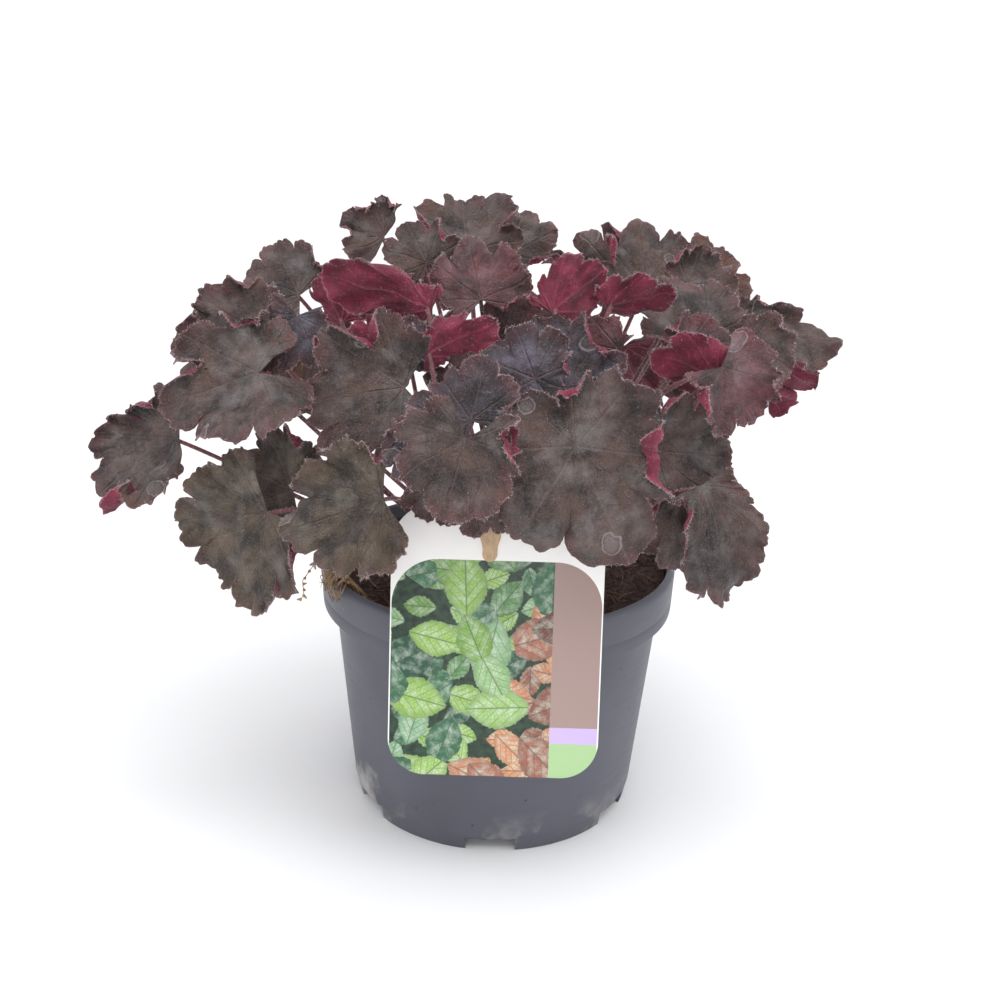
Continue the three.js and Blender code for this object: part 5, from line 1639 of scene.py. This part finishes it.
class HEUCHERA_OT_fold_stake(Operator):
    """Fold the label's stake, from the tab in front of the card down into the soil"""

    bl_idname = "heuchera.fold_stake"
    bl_label = "Fold the stake"

    def execute(self, context):
        settings = context.scene.heuchera_label
        thick, up = STAKE["thickness"], STAKE["slot_up"]
        face, behind = -LABEL["thickness"] - GAP - thick / 2, GAP + thick / 2
        round_tip = STAKE["tip"] / 2
        stops = []
        for a in np.linspace(0.12, math.pi / 2, 9):
            height = up - STAKE["tab"] + round_tip - round_tip * math.cos(a)
            stops.append((face, height, 2 * round_tip * math.sin(a)))
        for ease in np.linspace(0, 1, 7):
            width = STAKE["tip"] + (STAKE["width"] - STAKE["tip"]) * (1 - math.cos(math.pi * ease)) / 2
            stops.append((face, up - STAKE["tab"] * (0.62 - 0.42 * ease), width))
        stops += [(face, up - 1, STAKE["width"]), (face * 0.7, up, STAKE["width"])]
        stops += [
            (behind * 0.7, up, STAKE["width"]),
            (behind, up - 1, STAKE["width"]),
            (behind, up - 12, STAKE["width"]),
        ]
        line = [(spot, width) for spot, (_, _, width) in zip(hung([(0, y, z) for y, z, _ in stops]), stops)]
        for high, width in ((STAKE_BEND, STAKE["width"]), (8, STAKE["width"]), (0, STAKE["width"] * 0.3)):
            spot = (
                0,
                STAKE_FOOT[0] - high * math.sin(STAKE_SLANT),
                STAKE_FOOT[1] + high * math.cos(STAKE_SLANT),
            )
            line.append((Vector(spot), width))
        points = []
        for i, (spot, width) in enumerate(line):
            before, after = line[max(i - 1, 0)][0], line[min(i + 1, len(line) - 1)][0]
            along = (after - before).normalized()
            across = Vector((0, along.z, -along.y)) * thick / 2
            for side, lift in ((-1, -1), (1, -1), (1, 1), (-1, 1)):
                points.append(spot + Vector((STAKE["offset"] + side * width / 2, 0, 0)) + across * lift)
        faces = [(0, 3, 2, 1)]
        last = len(points) - 4
        for i in range(0, last, 4):
            for k in range(4):
                n = (k + 1) % 4
                faces.append((i + k, i + n, i + 4 + n, i + 4 + k))
        faces.append((last, last + 1, last + 2, last + 3))
        mesh = mesh_from("label_stake_dressed", points, faces, smooth=40)
        piece = object_of("label_stake_dressed", mesh, [fibre_board(settings.tongue)])
        settle(piece, "label_stake")
        return {"FINISHED"}


# ---------------------------------------------------------------- stage

CAMERA_PLACE = (0, -684, 421)
CAMERA_DOWN = math.radians(20.3)
CAMERA_ROLL = math.radians(1.7)
LENS = 49.3
SWEEP = {"front": -2500, "bend": 1200, "radius": 900, "top": 3500, "half": 4000}
AIM = (0, 0, 0.18)
BACKDROP = (0, 2.1, 0.8)


def sweep_mesh():
    """A floor that curves up into a backdrop."""
    bend, radius = SWEEP["bend"], SWEEP["radius"]
    line = [(SWEEP["front"], 0), (bend, 0)]
    for a in np.linspace(0.1, math.pi / 2, 14):
        line.append((bend + radius * math.sin(a), radius - radius * math.cos(a)))
    line.append((bend + radius, SWEEP["top"]))
    points = [(x, y, z) for y, z in line for x in (-SWEEP["half"], SWEEP["half"])]
    faces = [(2 * i, 2 * i + 1, 2 * i + 3, 2 * i + 2) for i in range(len(line) - 1)]
    return mesh_from("sweep", points, faces, smooth=60)


class HEUCHERA_OT_set_stage(Operator):
    """Set the pale floor, the soft light and the camera"""

    bl_idname = "heuchera.set_stage"
    bl_label = "Set the stage"

    def execute(self, context):
        settings = context.scene.heuchera_stage
        scene = context.scene
        paper, tree, shader = new_material("studio_paper", Roughness=0.85, Specular_IOR_Level=0.2)
        at = own_place(tree)
        cloud = cloudy(tree, at, 1.5, 2.0)
        floor = settings.floor
        tone = toned(tree, cloud, (0.3, [c * 0.98 for c in floor]), (0.7, floor))
        lay(tree, shader, Base_Color=tone)
        object_of("studio_sweep", sweep_mesh(), [paper])
        world = bpy.data.worlds.new("room")
        world.use_nodes = True
        world.node_tree.nodes.clear()
        glow = add(
            world.node_tree, "ShaderNodeBackground", {"Color": rgba("#ffffff"), "Strength": settings.sky}
        )
        add(world.node_tree, "ShaderNodeOutputWorld", {"Surface": glow.outputs[0]})
        scene.world = world
        # Each soft box: its name, place, size in metres and power.
        boxes = (
            ("key_box", (0.1, -0.6, 1.6), 1.4, settings.key_power),
            ("front_box", (0.0, -1.8, 0.7), 1.2, settings.front_power),
            ("left_box", (-1.3, -0.5, 0.7), 1.1, settings.side_power),
            ("right_box", (1.3, -0.3, 0.7), 1.1, settings.side_power),
            ("back_box", (0.0, 0.9, 1.9), 1.6, settings.key_power),
        )
        for name, spot, size, power in boxes:
            lamp = bpy.data.lights.new(name, "AREA")
            lamp.size = size
            lamp.energy = power
            holder = bpy.data.objects.new(name, lamp)
            scene.collection.objects.link(holder)
            aim = Vector(BACKDROP if name == "back_box" else AIM)
            holder.location = spot
            holder.rotation_euler = (aim - Vector(spot)).to_track_quat("-Z", "Y").to_euler()
        lens = bpy.data.cameras.new("camera")
        lens.lens = LENS
        lens.sensor_width = 36
        camera = bpy.data.objects.new("camera", lens)
        scene.collection.objects.link(camera)
        turn = Matrix.Rotation(math.pi / 2 - CAMERA_DOWN, 4, "X") @ Matrix.Rotation(CAMERA_ROLL, 4, "Z")
        camera.matrix_world = Matrix.Translation(Vector(CAMERA_PLACE) * MM) @ turn
        scene.camera = camera
        scene.view_settings.view_transform = "Standard"
        return {"FINISHED"}


# ---------------------------------------------------------------- the add-on

GROUPS = {
    "heuchera_leaves": LeafSettings,
    "heuchera_pot": PotSettings,
    "heuchera_soil": SoilSettings,
    "heuchera_label": LabelSettings,
    "heuchera_stage": StageSettings,
}
STEPS = (
    HEUCHERA_OT_set_stage,
    HEUCHERA_OT_mould_pot,
    HEUCHERA_OT_fill_soil,
    HEUCHERA_OT_form_crown,
    HEUCHERA_OT_grow_leaves,
    HEUCHERA_OT_cut_label,
    HEUCHERA_OT_fold_stake,
)


class HEUCHERA_PT_panel(Panel):
    """Lists the steps and their settings"""

    bl_label = "Heuchera"
    bl_space_type = "VIEW_3D"
    bl_region_type = "UI"
    bl_category = "Heuchera"

    def draw(self, context):
        for group in GROUPS:
            settings = getattr(context.scene, group)
            box = self.layout.box()
            for name in settings.__annotations__:
                box.prop(settings, name)
        for step in STEPS:
            self.layout.operator(step.bl_idname)


CLASSES = (*GROUPS.values(), *STEPS, HEUCHERA_PT_panel)


def register():
    """Registers the classes and their settings."""
    for item in CLASSES:
        bpy.utils.register_class(item)
    for name, group in GROUPS.items():
        setattr(bpy.types.Scene, name, PointerProperty(type=group))


def unregister():
    """Takes the settings and the classes away again."""
    for name in GROUPS:
        delattr(bpy.types.Scene, name)
    for item in reversed(CLASSES):
        bpy.utils.unregister_class(item)


def main():
    """Makes every piece in order."""
    register()
    for step in STEPS:
        group, name = step.bl_idname.split(".")
        getattr(getattr(bpy.ops, group), name)()


if __name__ == "__main__":
    main()
